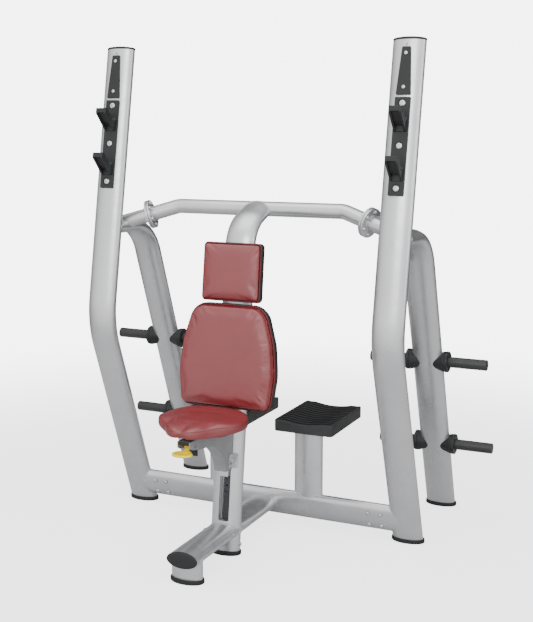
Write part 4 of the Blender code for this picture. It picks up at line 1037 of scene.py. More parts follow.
# ------------------------------------------------------------------ base and post
@dataclass(frozen=True)
class Base:
    """The tubes along the floor: the crossbar, the flat spine to the front, and its riser."""

    bar_z: float = 0.092
    bar_tall: float = 0.0595
    bar_deep: float = 0.028
    bolt_x: tuple = (0.444, 0.494)
    bolt_rise: float = 0.0266
    bolt: tuple = (0.0085, 0.0048, 0.0030)        # radius, height and socket of a head
    screw: tuple = (0.0064, 0.0060)               # half width across flats, and height
    spine_z: float = 0.090
    spine_thin: float = 0.0292
    spine_front: float = -0.728
    screw_x: float = 0.0585               # the cross screws, just sunk in the tubes' sides
    screw_y: float = -0.446
    screw_z: float = 0.040

    def bar_axes(self) -> Axes:
        """X along the crossbar, Z up the lean of its section, from its middle."""
        return axes(X_AXIS, (0.0, LAYOUT.low_slope, 1.0),
                    (0.0, LAYOUT.upright_y(self.bar_z), self.bar_z))

    def bar(self) -> Round:
        """The crossbar as an endless oval cylinder."""
        at = self.bar_axes()
        return Round(at.origin, at.z, -at.y, self.bar_tall, self.bar_deep)

    def straight(self, start: Sequence[float], end: Sequence[float], lateral: Points,
                 wide: float, thin: float) -> Points:
        """The two end sections of a straight oval tube."""
        run = np.array((start, end), float)
        heading = np.stack([unit(run[1] - run[0])] * 2)
        return rings(run, heading, lateral, wide, thin)

    def crossbar(self) -> None:
        """The crossbar between the uprights, the welds at its ends and its eight bolts."""
        at = self.bar_axes()
        reach = LAYOUT.half_span - 0.012
        ovals = self.straight(at.at(-reach, 0, 0), at.at(reach, 0, 0), at.z, self.bar_tall,
                              self.bar_deep)
        piece("base_bar", lattice(ovals), SILVER, stands_for=["base_crossbar"])
        front = -at.y
        for name, side in SIDES.items():
            foot = LAYOUT.upright_y(self.bar_z)
            tube = Round(np.array((side * LAYOUT.half_span, foot, self.bar_z)), X_AXIS, front,
                         *LAYOUT.oval)
            middle = self.straight(at.origin, at.at(side, 0, 0), at.z, self.bar_tall,
                                   self.bar_deep)[0]
            seam = tube.meet(middle, X_AXIS * side)
            weld("bar_weld_" + name, [seam], 0.0016)
            heads = []
            for x in self.bolt_x:
                for rise in (-self.bolt_rise, self.bolt_rise):
                    depth = self.bar_deep * math.sqrt(1.0 - (rise / self.bar_tall) ** 2)
                    seat = at.at(side * x, 0.0, rise) + front * (depth + 0.0012)
                    heads.append(button_bolt(*self.bolt).placed(axes(X_AXIS, front, seat)))
            piece("bar_screws_" + name, joined(heads), ZINC,
                  stands_for=["crossbar_bolts_" + name])

    def spine(self) -> None:
        """The spine on both sides of the post, its riser, end cap, welds and cross bolts."""
        wide, thin = LAYOUT.oval[0], self.spine_thin
        post = LAYOUT.post_axes(self.spine_z)
        behind = LAYOUT.upright_y(self.bar_z)
        front = self.straight((0, self.spine_front, self.spine_z),
                              (0, post.origin[1], self.spine_z), X_AXIS, wide, thin)
        rear = self.straight((0, post.origin[1], self.spine_z), (0, behind, self.spine_z),
                             X_AXIS, wide, thin)
        riser = self.straight((0, RISER_Y, LAYOUT.ground), (0, RISER_Y, self.spine_z), X_AXIS,
                              *LAYOUT.oval)
        piece("spine_tube_front", lattice(front), SILVER, stands_for=["base_spine_front"])
        piece("spine_tube_rear", lattice(rear), SILVER, stands_for=["base_spine_rear"])
        piece("riser_tube", lattice(riser), SILVER, stands_for=["front_riser"])
        cap = turned([(0.0588, -0.004), (0.0600, 0.0002), (0.0604, 0.0010), (0.0600, 0.0026),
                      (0.0582, 0.0038), (0.0560, 0.0042), (0.0100, 0.0046)],
                     72).stretched((1.0, 0.495, 1.0))
        piece("spine_cap", cap.placed(axes(X_AXIS, -Y_AXIS, (0, self.spine_front, self.spine_z))),
              BLACK, stands_for=["spine_end_cap"])
        post_tube = Round(post.origin, X_AXIS, post.y, *LAYOUT.oval)
        spine_tube = Round(np.array((0, 0, self.spine_z)), X_AXIS, Z_AXIS, wide, thin)
        seams = [post_tube.meet(front[0], Y_AXIS), self.bar().meet(rear[0], Y_AXIS),
                 post_tube.meet(rear[1], -Y_AXIS), spine_tube.meet(riser[0], Z_AXIS)]
        weld("spine_welds", seams)
        heads, low = [], LAYOUT.post_axes(self.screw_z)
        for side in SIDES.values():
            for seat in ((side * self.screw_x, self.screw_y, self.spine_z + 0.003),
                         low.at(-side * self.screw_x, 0.0, 0.0)):
                heads.append(hex_bolt(*self.screw).placed(axes(Z_AXIS, X_AXIS * side, seat)))
        piece("spine_screws", joined(heads), ZINC)

    def build(self) -> None:
        """Makes the base and the two cups on its middle line."""
        self.crossbar()
        self.spine()
        LAYOUT.foot_cup("post", 0.0, float(LAYOUT.post_axes(LAYOUT.cup_z).origin[1]))
        LAYOUT.foot_cup("front", 0.0, RISER_Y)


@dataclass(frozen=True)
class CentrePost:
    """The slotted post that carries the pads and bends back into the top tube."""

    bend: float = 1.205
    bend_radius: float = 0.130
    end: tuple = (-0.0985, 1.263)
    slot: tuple = (0.123, 0.520)
    slot_half: float = 0.0213
    slot_corner: float = 0.005
    wall: float = 0.003
    plates: tuple = ((0.740, 0.080), (1.045, 0.050))
    plate_half: float = 0.032
    proud: float = 0.036
    rack_low: float = 0.127
    rack_long: float = 0.375
    first_stop: float = 0.303             # up the strip; the others are below it
    stop_spacing: float = 0.025
    stops: int = 9
    columns: int = 7                      # points of a section between the slot's edges
    back_columns: int = 68                # points of a section round the back, edge to edge

    def slot_width(self, z: Points) -> Points:
        """Half width of the slot at heights along it: narrower where its corners are round."""
        r = self.slot_corner
        near = np.clip(np.minimum(z - self.slot[0], self.slot[1] - z), 0.0, r)
        return self.slot_half - r + np.sqrt(r * r - (r - near) ** 2)

    def stations(self) -> Points:
        """Heights of the post's sections, close together where the slot's corners are round."""
        low, high = self.slot
        curl = self.slot_corner * (1.0 - np.cos(np.linspace(0.0, math.pi / 2.0, 5)))
        return np.concatenate(([LAYOUT.start], low + curl,
                               np.linspace(low + 0.03, high - 0.03, 12), high - curl[::-1],
                               np.linspace(0.56, 1.0, 8)))

    def skin(self) -> tuple[Surface, Points]:
        """The post's outside with its slot left open.

        A section's first points lie evenly between the slot's edges, whose angle is the arc
        cosine of the slot's half width over the oval's; the others go round the back.

        Returns:
            The open skin, and the line where its head meets the top tube.
        """
        stations = self.stations()
        corners = [(0, *LAYOUT.post_axes(z).origin[1:]) for z in (LAYOUT.start, self.bend)]
        path, heading = route([*corners, (0, *self.end)], [self.bend_radius], 3.0)
        spots = np.array([LAYOUT.post_axes(z).origin for z in stations])
        path = np.concatenate((spots, path[1:]))
        heading = np.concatenate((np.tile(heading[0], (len(spots), 1)), heading[1:]))
        wide, thin = LAYOUT.oval
        inside = (stations >= self.slot[0] - 1e-9) & (stations <= self.slot[1] + 1e-9)
        edge = np.arccos(np.where(inside, self.slot_width(stations), self.slot_half) / wide)
        edge = np.pad(edge, (0, len(path) - len(spots)), "edge")[:, None]
        front = edge + (math.pi - 2.0 * edge) * np.linspace(0.0, 1.0, self.columns)
        rest = (math.pi - edge
                + (math.pi + 2.0 * edge) * np.linspace(0.0, 1.0, self.back_columns)[1:-1])
        turn = np.concatenate((front, rest), 1)[..., None]
        ahead = np.cross(heading, X_AXIS)
        ahead *= np.sign(-ahead[:, 1:2])
        ovals = (path[:, None] + X_AXIS * wide * np.cos(turn)
                 + ahead[:, None] * thin * np.sin(turn))
        ovals = levelled(ovals, heading, LAYOUT.ground)
        tube = Round(np.array((0.0, *TopTube.bend[1:])), Y_AXIS, Z_AXIS, TopTube.radius,
                     TopTube.radius)
        seam = tube.meet(ovals[-1] - heading[-1] * 0.1, heading[-1])
        ovals[-1] = seam + heading[-1] * 0.001
        skin, width = lattice(ovals, capped=False), turn.shape[1]
        slotted = set(np.flatnonzero(inside[:-1] & inside[1:]).tolist())
        skin.faces = [face for face in skin.faces if face[0] // width not in slotted
                      or face[0] % width >= self.columns - 1]
        return skin, seam

    def build(self) -> None:
        """Makes the post with its slot, the pad plates, the strip inside, and the weld."""
        skin, seam = self.skin()
        shell = helper(mesh_of(skin), "post_shell")
        walls = shell.modifiers.new("wall", "SOLIDIFY")
        walls.thickness, walls.offset = self.wall, -1.0
        piece("post_tube", evaluated(shell), SILVER, stands_for=["centre_post"], sharp=50.0)
        weld("post_weld", [seam])
        plates = []
        for z, half in self.plates:
            outline = rounded([(-self.plate_half, -half), (self.plate_half, -half),
                               (self.plate_half, half), (-self.plate_half, half)], 0.004)
            plates.append(prism(outline, 0.022, self.proud, 0.0008)
                          .placed(LAYOUT.post_axes(z).laid()))
        piece("pad_plates", joined(plates), SILVER)
        self.inner_strip()

    def inner_strip(self) -> None:
        """The drilled strip that sets the seat's height, and the bright rod beside it."""
        at, length = LAYOUT.post_axes(self.rack_low), self.rack_long
        lying = at.laid()
        outline = rounded([(-0.012, 0.0), (0.012, 0.0), (0.012, length), (-0.012, length)], 0.001)
        stops = [turned([(0.0045, 0.004), (0.0045, 0.02)], 24).placed(
            lying.moved(0.0, self.first_stop - self.stop_spacing * step, 0.0))
            for step in range(self.stops)]
        strip = carved(prism(outline, 0.005, 0.010).placed(lying), (), stops)
        piece("height_strip", strip, DARK_STEEL, stands_for=["index_rack"], bevel=0.0005)
        run = np.stack((at.at(0.0165, 0.011, 0.0), at.at(0.0165, 0.011, length + 0.012)))
        rod = rings(run, np.stack([at.z] * 2), X_AXIS, 0.0028, 0.0028, 24)
        piece("slot_rod", lattice(rod), STEEL)


# ------------------------------------------------------------------ steps
@dataclass(frozen=True)
class Step:
    """A ribbed step for whoever helps with the bar, on an oval post."""

    name: str
    side: float
    x: float = 0.184
    post_x: float = 0.188
    post_y: float = -0.042
    post_wide: float = 0.059
    post_thin: float = 0.0245
    post_low: float = 0.117
    top: float = 0.444
    thick: float = 0.045
    half_width: float = 0.122
    front: float = -0.098
    back: float = 0.236
    corner: float = 0.014
    dish_radius: float = 0.34
    dish_depth: float = 0.009
    ribs: int = 12
    rib_height: float = 0.0042
    rim: float = 0.0035                   # radius of the block's upper rim
    margin: float = 0.0055                # from the block's sides to the ribs

    def dish(self, x: Points) -> Points:
        """Height of the tread below its rims: a shallow round trough along Y."""
        centre = self.top + self.dish_radius - self.dish_depth
        return np.minimum(self.top, centre - np.sqrt(self.dish_radius ** 2 - x ** 2))

    def half_across(self, y: Points) -> Points:
        """Half width of the step at each y, less where its corners are round."""
        near = np.clip(np.minimum(y - self.front, self.back - y), 0.0, self.corner)
        return (self.half_width - self.corner
                + np.sqrt(self.corner ** 2 - (self.corner - near) ** 2))

    def block(self) -> Surface:
        """The moulded body: upright sides under a rounded rim, and a dished top just sunk.

        Each row across is one closed section: along the underside, up a side, over the rim by
        a quarter circle, across the dish and down again.
        """
        r, low = self.rim, self.top - self.thick
        curl = self.corner * (1.0 - np.cos(np.linspace(0.0, math.pi / 2.0, 7)))
        y = np.concatenate((self.front + curl, np.linspace(self.front + 0.03, self.back - 0.03,
                                                           9), self.back - curl[::-1]))
        half = self.half_across(y)[:, None]
        ends = np.minimum(y - self.front, self.back - y)[:, None]
        drop = r - np.sqrt(np.maximum(r * r - np.clip(r - ends, 0.0, r) ** 2, 0.0))
        turn = np.linspace(0.0, math.pi / 2.0, 6)[None]
        inner = (half - r) * np.linspace(1.0, -1.0, 33)[None, 1:-1]
        rim = self.dish(half - r)
        right_x = half - r + r * np.cos(turn)
        right_z = rim - r + r * np.sin(turn) - drop
        floor = self.dish(inner) - 0.0012 - drop
        base = np.full_like(half, low)
        x = np.concatenate((half - 0.002, half, right_x, inner, -right_x[:, ::-1], -half,
                            -half + 0.002), 1)
        z = np.concatenate((base, base + 0.002, right_z, floor, right_z[:, ::-1], base + 0.002,
                            base), 1)
        return lattice(np.stack((x, np.broadcast_to(y[:, None], x.shape), z), -1))

    def tread(self) -> Surface:
        """The ribbed top: height is the dish plus a row of rounded ribs along X.

        A rib's height is a clipped cosine of y, so that its top is flat and its flanks slope;
        it fades out at the ends of the ribs and of the step.
        """
        margin = self.margin
        y = np.linspace(self.front + margin, self.back - margin, self.ribs * 14 + 1)
        half = (self.half_across(y) - margin)[:, None]
        share = np.concatenate(([-1.0, -0.985], np.linspace(-0.96, 0.96, 33), [0.985, 1.0]))
        x = half * share[None]
        phase = (y - y[0]) / (y[-1] - y[0]) * self.ribs * 2.0 * math.pi
        rib = np.clip(0.5 - 1.1 * np.cos(phase), 0.0, 1.0)[:, None] * self.rib_height
        fade = np.clip((1.0 - np.abs(share[None])) / 0.04, 0.0, 1.0)
        z = self.dish(x) - 0.0030 + rib * fade
        z = np.minimum(z, self.top)
        upper = np.stack((x, np.broadcast_to(y[:, None], x.shape), z), -1)
        lower = upper[:, ::-1] * (1.0, 1.0, 0.0) + (0.0, 0.0, self.top - 0.018)
        return lattice(np.concatenate((upper, lower), 1))

    def build(self) -> None:
        """Makes the step, its tread, its post and the post's weld."""
        # The block's sides take the lit tone and the ribbed top the shaded tone: painted light and
        # shade on one rubber.
        for label, shape, finish in (("block", self.block(), STEP_SIDE_LIT),
                                     ("tread", self.tread(), STEP_TOP_SHADED)):
            piece(f"step_{label}_{self.name}",
                  shape.stretched(offset=(self.side * self.x, 0.0, 0.0)), finish,
                  stands_for=["step_pad_" + self.name] if label == "block" else ())
        place = np.array([(self.side * self.post_x, self.post_y, z)
                          for z in (self.post_low, self.top - self.thick)])
        ovals = rings(place, np.stack((Z_AXIS, Z_AXIS)), X_AXIS, self.post_wide, self.post_thin)
        piece("step_post_tube_" + self.name, lattice(ovals), SILVER,
              stands_for=["step_post_" + self.name])
        seam = Base().bar().meet(ovals[1], -Z_AXIS)
        weld("step_weld_" + self.name, [seam])


# ------------------------------------------------------------------ cushions
@dataclass(frozen=True)
class Stuffing:
    """How a cushion's cover is blown out over its foam by cloth simulation."""

    voxel: float = 0.005
    pressure: float = 4.0
    cap: float = 0.005                 # furthest that a point may move
    frames: int = 20

    def swell(self, surface: Surface, held: Callable[[Points], Points]) -> bpy.types.Mesh:
        """The cover, remeshed evenly, swollen under pressure, capped, and subdivided once.

        Args:
            surface: the closed cover, slightly smaller than the finished cushion.
            held: tells which points are stapled down and don't move.

        Returns:
            The finished mesh.
        """
        cover = helper(mesh_of(surface), "cover")
        remesh = cover.modifiers.new("even", "REMESH")
        remesh.mode, remesh.voxel_size = "VOXEL", self.voxel
        mesh = evaluated(cover)
        calm = helper(mesh, "calm_cover")
        smooth = calm.modifiers.new("calm", "SMOOTH")
        smooth.factor, smooth.iterations = 0.5, 3
        mesh = evaluated(calm)
        mesh = self.blown(mesh, held)
        fine = helper(mesh, "fine_cover")
        finer = fine.modifiers.new("finer", "SUBSURF")
        finer.levels = finer.render_levels = 1
        return evaluated(fine)

    def blown(self, mesh: bpy.types.Mesh, held: Callable[[Points], Points]) -> bpy.types.Mesh:
        """The cover after the cloth has run, no point further than the cap from its start."""
        start = coordinates(mesh)
        bag = helper(mesh, "blown_cover")
        group = bag.vertex_groups.new(name="held")
        group.add([int(n) for n in np.flatnonzero(held(start))], 1.0, "REPLACE")
        cloth = bag.modifiers.new("cloth", "CLOTH")
        settings = cloth.settings
        settings.vertex_group_mass = group.name
        settings.use_pressure = True
        settings.uniform_pressure_force = self.pressure
        settings.effector_weights.gravity = 0.0
        settings.quality = 5
        cloth.point_cache.frame_start, cloth.point_cache.frame_end = 1, self.frames
        for number in range(1, self.frames + 1):
            bpy.context.scene.frame_set(number)
        blown = evaluated(bag)
        bpy.context.scene.frame_set(1)
        moved = coordinates(blown) - start
        reach = np.linalg.norm(moved, axis=1, keepdims=True)
        limit = self.cap * np.tanh(reach / self.cap)
        blown.vertices.foreach_set("co", (start + moved / np.maximum(reach, 1e-9)
                                          * limit).ravel())
        blown.update()
        return blown


def sewn(mesh: bpy.types.Mesh, depth_of: Callable[[Points, Points], Points]) -> None:
    """Presses seams into a cover: each point moves in along its normal by a given depth.

    Args:
        mesh: the cover.
        depth_of: the depth at each point, from the points and their normals.
    """
    normals, points = coordinates(mesh, "normal"), coordinates(mesh)
    points = points - normals * depth_of(points, normals)[:, None]
    mesh.vertices.foreach_set("co", points.ravel())
    mesh.update()


@dataclass(frozen=True)
class BackCushion:
    """A cushion on the post: a firm pad with round edges on a moulded backing shell."""

    name: str
    z: float                            # height of its middle on the post
    proud: float                        # its face, ahead of the post's axis
    corners: tuple
    radii: tuple
    bulge: float                        # how far the backing swells out behind
    edge: float = 0.013                 # radius of the face's rim
    board: tuple = (0.0363, 0.0590)     # the backing's rim, ahead of the post's axis
    seam: float = 0.0060                # the side seam, ahead of the backing

    def lying(self) -> Axes:
        """X across, Y up the post, Z ahead of it."""
        return LAYOUT.post_axes(self.z).laid()

    def outline(self) -> Points:
        """The cushion from the front."""
        return rounded(self.corners, list(self.radii), 5.0)

    def cover(self) -> Surface:
        """The pad's cover: its outline drawn in along a profile from the board to the middle.

        The profile goes up the side, round the rim by a quarter circle, and over a face that
        rises by a crown of 2 mm to its middle.
        """
        outline, low = drawn_in(self.outline(), 0.0030), self.board[1] + 0.0006
        shrink = 0.0030
        high, rim = self.proud - shrink - 0.0010, self.edge - shrink
        turn = np.linspace(0.0, math.pi / 2.0, 7)
        side = np.linspace(low + 0.006, high - rim - 0.002, 3)
        inset = np.concatenate(([0.004, 0.001], np.full(len(side), shrink),
                                rim * (1.0 - np.cos(turn)) + shrink))
        ahead = np.concatenate(([low, low + 0.002], side, high - rim + rim * np.sin(turn)))
        rows = [np.column_stack((drawn_in(outline, amount), np.full(len(outline), level)))
                for amount, level in zip(inset, ahead)]
        face, middle = rows[-1][:, :2], outline.mean(0)
        for share in (0.8, 0.55, 0.3, 0.08):
            crown = 0.0020 * (1.0 - share ** 2)
            rows.append(np.column_stack((middle + (face - middle) * share,
                                         np.full(len(face), high + crown))))
        return lattice(np.stack(rows))

    def shell(self) -> Surface:
        """The backing: an upright rim, then a dome that swells backwards by the bulge."""
        outline = self.outline()
        back, front = self.board
        share = np.sin(np.linspace(0.0, math.pi / 2.0, 9))[:-1]
        middle = outline.mean(0)
        rows = [np.column_stack((drawn_in(outline, 0.004), np.full(len(outline), front))),
                np.column_stack((outline, np.full(len(outline), front - 0.0010)))]
        for step in share:
            flat = middle + (outline - middle) * math.sqrt(1.0 - step ** 2) ** 0.55
            level = back + 0.003 - self.bulge * step
            rows.append(np.column_stack((flat, np.full(len(outline), level))))
        return lattice(np.stack(rows))

    def build(self) -> None:
        """Makes the backing, the padded cover with its seam, and the piping at its back."""
        lying, low = self.lying(), self.board[1]
        forward = lying.z
        piece(self.name + "_shell", self.shell().placed(lying), BOARD,
              stands_for=[self.name + "_board"])

        def ahead(points: Points) -> Points:
            """Distance of points ahead of the post's axis."""
            return (points - lying.origin) @ forward

        def seam_depth(points: Points, normals: Points) -> Points:
            """A groove round the side, where the face's panel is sewn to the side's."""
            side = np.clip(1.0 - np.abs(normals @ forward) * 1.5, 0.0, 1.0)
            away = (ahead(points) - low - self.seam) / 0.0022
            return 0.0018 * side * np.exp(-away ** 2)

        mesh = Stuffing().swell(self.cover().placed(lying),
                                lambda points: ahead(points) < low + 0.0045)
        sewn(mesh, seam_depth)
        pad = piece(self.name + "_cushion", mesh, VINYL, stands_for=[self.name + "_pad"],
                    sharp=80.0)
        edge = drawn_in(self.outline(), 0.0040)
        curve = resampled(np.column_stack((edge, np.full(len(edge), low + 0.0022))), 0.004)
        piece(self.name + "_piping", bead(lying.place(curve), 0.0021), THREAD)


@dataclass(frozen=True)
class Bump:
    """A smooth rise on the seat, or a hollow where it is negative, the same left and right."""

    height: float
    u: float                            # its middle across, as a share of the half width
    wide: float
    v: float                            # and along, as a share of the half length
    long: float

    def at(self, u: Points, v: Points) -> Points:
        """Its height at u and v: a bell curve of both."""
        return self.height * np.exp(-((np.abs(u) - self.u) / self.wide) ** 2
                                    - ((v - self.v) / self.long) ** 2)


@dataclass(frozen=True)
class Seat:
    """The saddle-like seat: wide wings at the back, drawn in to two lobes in front."""

    y: float = -0.580
    under: float = 0.5206
    top: float = 0.5690
    half_width: float = 0.163
    half_length: float = 0.160
    board: tuple = (0.5085, 0.5197)
    board_shares: tuple = (0.64, 0.70, 0.50)      # of the plan: across, behind and in front
    dish: Bump = Bump(-0.0120, 0.0, 0.60, 0.30, 0.45)
    crest: Bump = Bump(0.0030, 0.36, 0.20, -0.28, 0.26)
    valley: Bump = Bump(-0.0090, 0.0, 0.13, -0.90, 0.32)
    crease: Bump = Bump(-0.0050, 0.50, 0.10, -0.60, 0.25)

    def outline(self, turn: Points) -> tuple[Points, Points]:
        """Plan of the seat about its middle.

        An ellipse whose front half narrows with the nose, waisted where the thighs pass and
        slightly notched between the lobes.

        Args:
            turn: angles, with the back of the seat at a quarter turn.

        Returns:
            X and y at each angle.
        """
        nose = np.maximum(0.0, -np.sin(turn))
        from_front = np.abs(np.angle(np.exp(1j * (turn + math.pi / 2.0))))
        waist = 0.090 * np.exp(-((from_front - math.radians(50.0)) / math.radians(14.0)) ** 2)
        notch = 0.050 * np.exp(-(from_front / math.radians(9.0)) ** 2)
        rear = 1.0 + 0.05 * np.sin(2.0 * turn) ** 2 * (np.sin(turn) > 0.0)
        scale = (1.0 - waist - notch) * rear
        return (self.half_width * np.cos(turn) * (1.0 - 0.34 * nose ** 1.5) * scale,
                self.half_length * np.sin(turn) * scale)

    def upper(self, u: Points, v: Points) -> Points:
        """Height of the seat's top at shares of its half width and half length.

        A shallow dish with raised crests over the lobes; the nose slopes down, with a valley
        between its lobes and a crease between each lobe and the wing beside it.
        """
        bumps = [bump.at(u, v) for bump in (self.dish, self.crest, self.valley, self.crease)]
        wings = -0.0060 * np.maximum(0.0, (np.abs(u) - 0.55) / 0.45) ** 2
        nose = -0.0100 * np.maximum(0.0, (-v - 0.40) / 0.60) ** 1.4
        return self.top + sum(bumps) + wings + nose

    def hem(self, turn: Points) -> Points:
        """Height of the cover's lower edge: an arch between the lobes, and raised wings."""
        from_front = np.abs(np.angle(np.exp(1j * (turn + math.pi / 2.0))))
        arch = 0.0170 * np.exp(-(from_front / math.radians(12.0)) ** 2)
        wings = 0.0085 * np.exp(-((from_front - math.radians(84.0)) / math.radians(20.0)) ** 2)
        return self.under + arch + wings

    def cover(self) -> Surface:
        """The seat's cover: rings of its plan, drawn in along a profile from pole to pole.

        Height runs between the underside and the top by a power of the cosine, so that the
        side is nearly upright and both rims are round.
        """
        turn = angles(120)
        lean = np.linspace(0.04, math.pi - 0.04, 34)[:, None]
        reach = np.sin(lean) ** 0.20
        depth = np.sign(np.cos(lean)) * np.abs(np.cos(lean)) ** 0.28
        x, y = self.outline(turn)
        x, y = x[None] * reach, y[None] * reach
        low = self.under + (self.hem(turn)[None] - self.under) * reach ** 8
        high = self.upper(x / self.half_width, y / self.half_length)
        z = (low + high) / 2.0 + depth * (high - low) / 2.0
        return lattice(np.stack((x, y + self.y, z), -1))

    def build(self) -> None:
        """Makes the seat's board, its padded cover and the seam round its side."""
        turn = angles(96)
        x, y = self.outline(turn)
        across, behind, ahead = self.board_shares
        plan = np.column_stack((x * across, y * np.where(y > 0.0, behind, ahead) + self.y))
        piece("seat_base", prism(plan, *self.board, 0.002), BOARD, "seat_unit", ["seat_board"])

        def seam_depth(points: Points, normals: Points) -> Points:
            """A groove round the side, level with the middle of the cover's height."""
            angle = np.arctan2((points[:, 1] - self.y) / self.half_length,
                               points[:, 0] / self.half_width)
            x_at, y_at = self.outline(angle)
            high = self.upper(x_at / self.half_width, y_at / self.half_length)
            level = self.hem(angle) * 0.30 + high * 0.70
            side = np.clip(1.0 - np.abs(normals[:, 2]) * 1.1, 0.0, 1.0)
            return 0.0012 * side * np.exp(-((points[:, 2] - level) / 0.0022) ** 2)

        stuffing = Stuffing(voxel=0.004, cap=0.0025)
        mesh = stuffing.swell(self.cover(), lambda points: points[:, 2] < self.under + 0.003)
        sewn(mesh, seam_depth)
        pad = piece("seat_cushion", mesh, VINYL, "seat_unit", ["seat_pad"], sharp=80.0)


# ------------------------------------------------------------------ carriage
@dataclass(frozen=True)
class Carriage:
    """The arched carriage under the seat, its guides on the post, and the release lever."""

    half_width: float = 0.025
    top: float = 0.5075
    low: float = 0.3245
    cheek: float = 0.004
    mouth: tuple = (-0.636, 0.430, 0.495)         # its back, and its lower and upper height
    arch: tuple = (-0.600, 0.3145)
    arch_radii: tuple = (0.165, 0.1455)
    strip: tuple = (-0.7074, 0.003, 0.4952, 0.5069, 0.0004)    # front, thickness, low, high
    wall: tuple = (-0.6490, 0.006, 0.4440, 0.4940, 0.0010)     # and corners of the latch's
    pivot: tuple = (-0.668, 0.484)
    pin: float = 0.004
    lock_z: float = 0.430
    lock_radius: float = 0.0065
    lock_ends: tuple = (0.0112, 0.286)            # ahead of the post's axis
    guide_z: float = 0.2905
    plate_z: float = 0.352
    plate_screw: tuple = (0.0042, 0.0022, 0.0016)     # radius, height and socket of a head
    plate_screws: tuple = (0.006, 0.018)              # rise of each above the plate's middle
    paddle: tuple = (0.0, -0.717, 0.4665)

    def standing(self) -> Axes:
        """Axes for a side view: X is the bench's Y, Y its Z, and Z its X."""
        return Axes(Y_AXIS, Z_AXIS, X_AXIS, np.zeros(3))

    def outline(self) -> Points:
        """The carriage from the side: a box over a quarter of an oval arch, flat on the post."""
        lean = LAYOUT.post_axes(self.low)
        ahead = LAYOUT.oval[1] + 0.0016
        low, high = lean.at(0, ahead, 0), LAYOUT.post_axes(self.top - 0.0045).at(0, ahead, 0)
        turn = np.radians(np.linspace(0.0, 84.0, 22))
        arch = np.column_stack((self.arch[0] + self.arch_radii[0] * np.sin(turn),
                                self.arch[1] + self.arch_radii[1] * np.cos(turn)))
        nose = rounded([(-0.690, self.top), (-0.706, self.top), (-0.706, 0.486),
                        (-0.690, 0.477), (-0.640, 0.466)], [0.0, 0.003, 0.006, 0.012, 0.0])
        foot = np.array(((-0.4345, self.low), (low[1], self.low), (high[1], self.top)))
        return np.concatenate((nose, arch, foot))

    def body(self) -> None:
        """The carriage with its open mouth and the slit beside it."""
        side = self.standing()
        inside = self.half_width - self.cheek
        back, low, high = self.mouth
        mouth = rounded([(-0.75, low), (back, low), (back, high), (-0.75, high)],
                        [0.0, 0.004, 0.004, 0.0])
        bore = turned([(self.pin + 0.0004, -0.05), (self.pin + 0.0004, 0.05)], 24).placed(
            axes(Y_AXIS, X_AXIS, (0.0, *self.pivot)))
        turn = np.radians(np.linspace(-48.0, 28.0, 14))
        slits = []
        for way in SIDES.values():
            outer = np.column_stack((np.cos(turn), np.sin(turn))) * 0.0152
            inner = (np.column_stack((np.cos(turn), np.sin(turn))) * 0.0132)[::-1]
            arc = np.concatenate((outer, inner)) + self.pivot + (0.012, -0.006)
            flat = sorted((way * (self.half_width - 0.0012), way * (self.half_width + 0.01)))
            slits.append(prism(arc, *flat).placed(side))
        mesh = carved(prism(self.outline(), -self.half_width, self.half_width).placed(side), (),
                      [prism(mouth, -inside, inside).placed(side), bore, *slits])
        piece("carriage_box", mesh, CAST_SILVER, "seat_unit", ["seat_carriage"], bevel=0.0014)

    def latch(self) -> None:
        """The black housing of the latch: a strip over the mouth and a wall at its back."""
        half = self.half_width - self.cheek - 0.0004
        shapes = []
        for front, thick, low, high, corner in (self.strip, self.wall):
            outline = rounded([(front, high), (front, low), (front + thick, low),
                               (front + thick, high)], corner)
            shapes.append(prism(outline, -half, half).placed(self.standing()))
        # The housing is drawn in the darker copy of black plastic: painted shade for the mouth of
        # the carriage it sits in.
        piece("latch_housing", joined(shapes), SHADED_BLACK, "seat_unit", bevel=0.0003)

    def guides(self) -> None:
        """The block in the slot and the plate beside it, with their screws and boss."""
        lying = LAYOUT.post_axes(self.guide_z).laid()
        block = prism(rounded([(-0.0185, 0.0), (0.0150, 0.0), (0.0150, 0.024),
                               (-0.0185, 0.024)], 0.0015), 0.0150, 0.0400, 0.0006)
        screw = turned([(0.0072, 0.0), (0.0072, 0.0010), (0.0066, 0.0016), (0.0034, 0.0016),
                        (0.0032, 0.0004), (0.0016, 0.0003)], 36, flats=(3, 4))
        shapes = [block.placed(lying), screw.placed(lying.moved(-0.0015, 0.012, 0.0400))]
        piece("slide_block", joined(shapes), ZINC, "seat_unit", ["guide_block"])
        side, edge = self.half_width + 0.0003, self.half_width + 0.0033
        lean = LAYOUT.post_axes(self.plate_z)
        flat = lean.laid()
        front = prism(rounded([(side, -0.025), (0.051, -0.025), (0.051, 0.025), (side, 0.025)],
                              0.0025), 0.0335, 0.0375).placed(flat)
        flange = prism(rounded([(0.0340, -0.025), (0.060, -0.025), (0.060, 0.025),
                                (0.0340, 0.025)], [0.0, 0.003, 0.003, 0.0]), side, edge)
        flange = flange.placed(Axes(lean.y, lean.z, X_AXIS, lean.origin))
        hole = turned([(0.0026, 0.02), (0.0026, 0.05)], 24).placed(flat.moved(0.039, 0.010, 0.0))
        boss = turned([(0.0090, -0.0002), (0.0090, 0.0006), (0.0078, 0.0018), (0.0078, 0.0058),
                       (0.0072, 0.0068), (0.0040, 0.0068), (0.0038, 0.0048),
                       (0.0012, 0.0046)], 40, flats=(5, 6))
        piece("slide_plate", carved(front, [flange], [hole]), ZINC, "seat_unit",
              ["guide_plate"], bevel=0.0006)
        piece("slide_boss", boss.placed(flat.moved(0.039, -0.011, 0.0375)), ZINC, "seat_unit")
        heads = []
        for rise in self.plate_screws:
            spot = LAYOUT.post_axes(self.plate_z + rise).at(0.0, 0.050, 0.0)
            heads.append(button_bolt(*self.plate_screw).placed(
                axes(Z_AXIS, X_AXIS, spot + (edge, 0.0, 0.0))))
        piece("plate_screws", joined(heads), ZINC, "seat_unit")

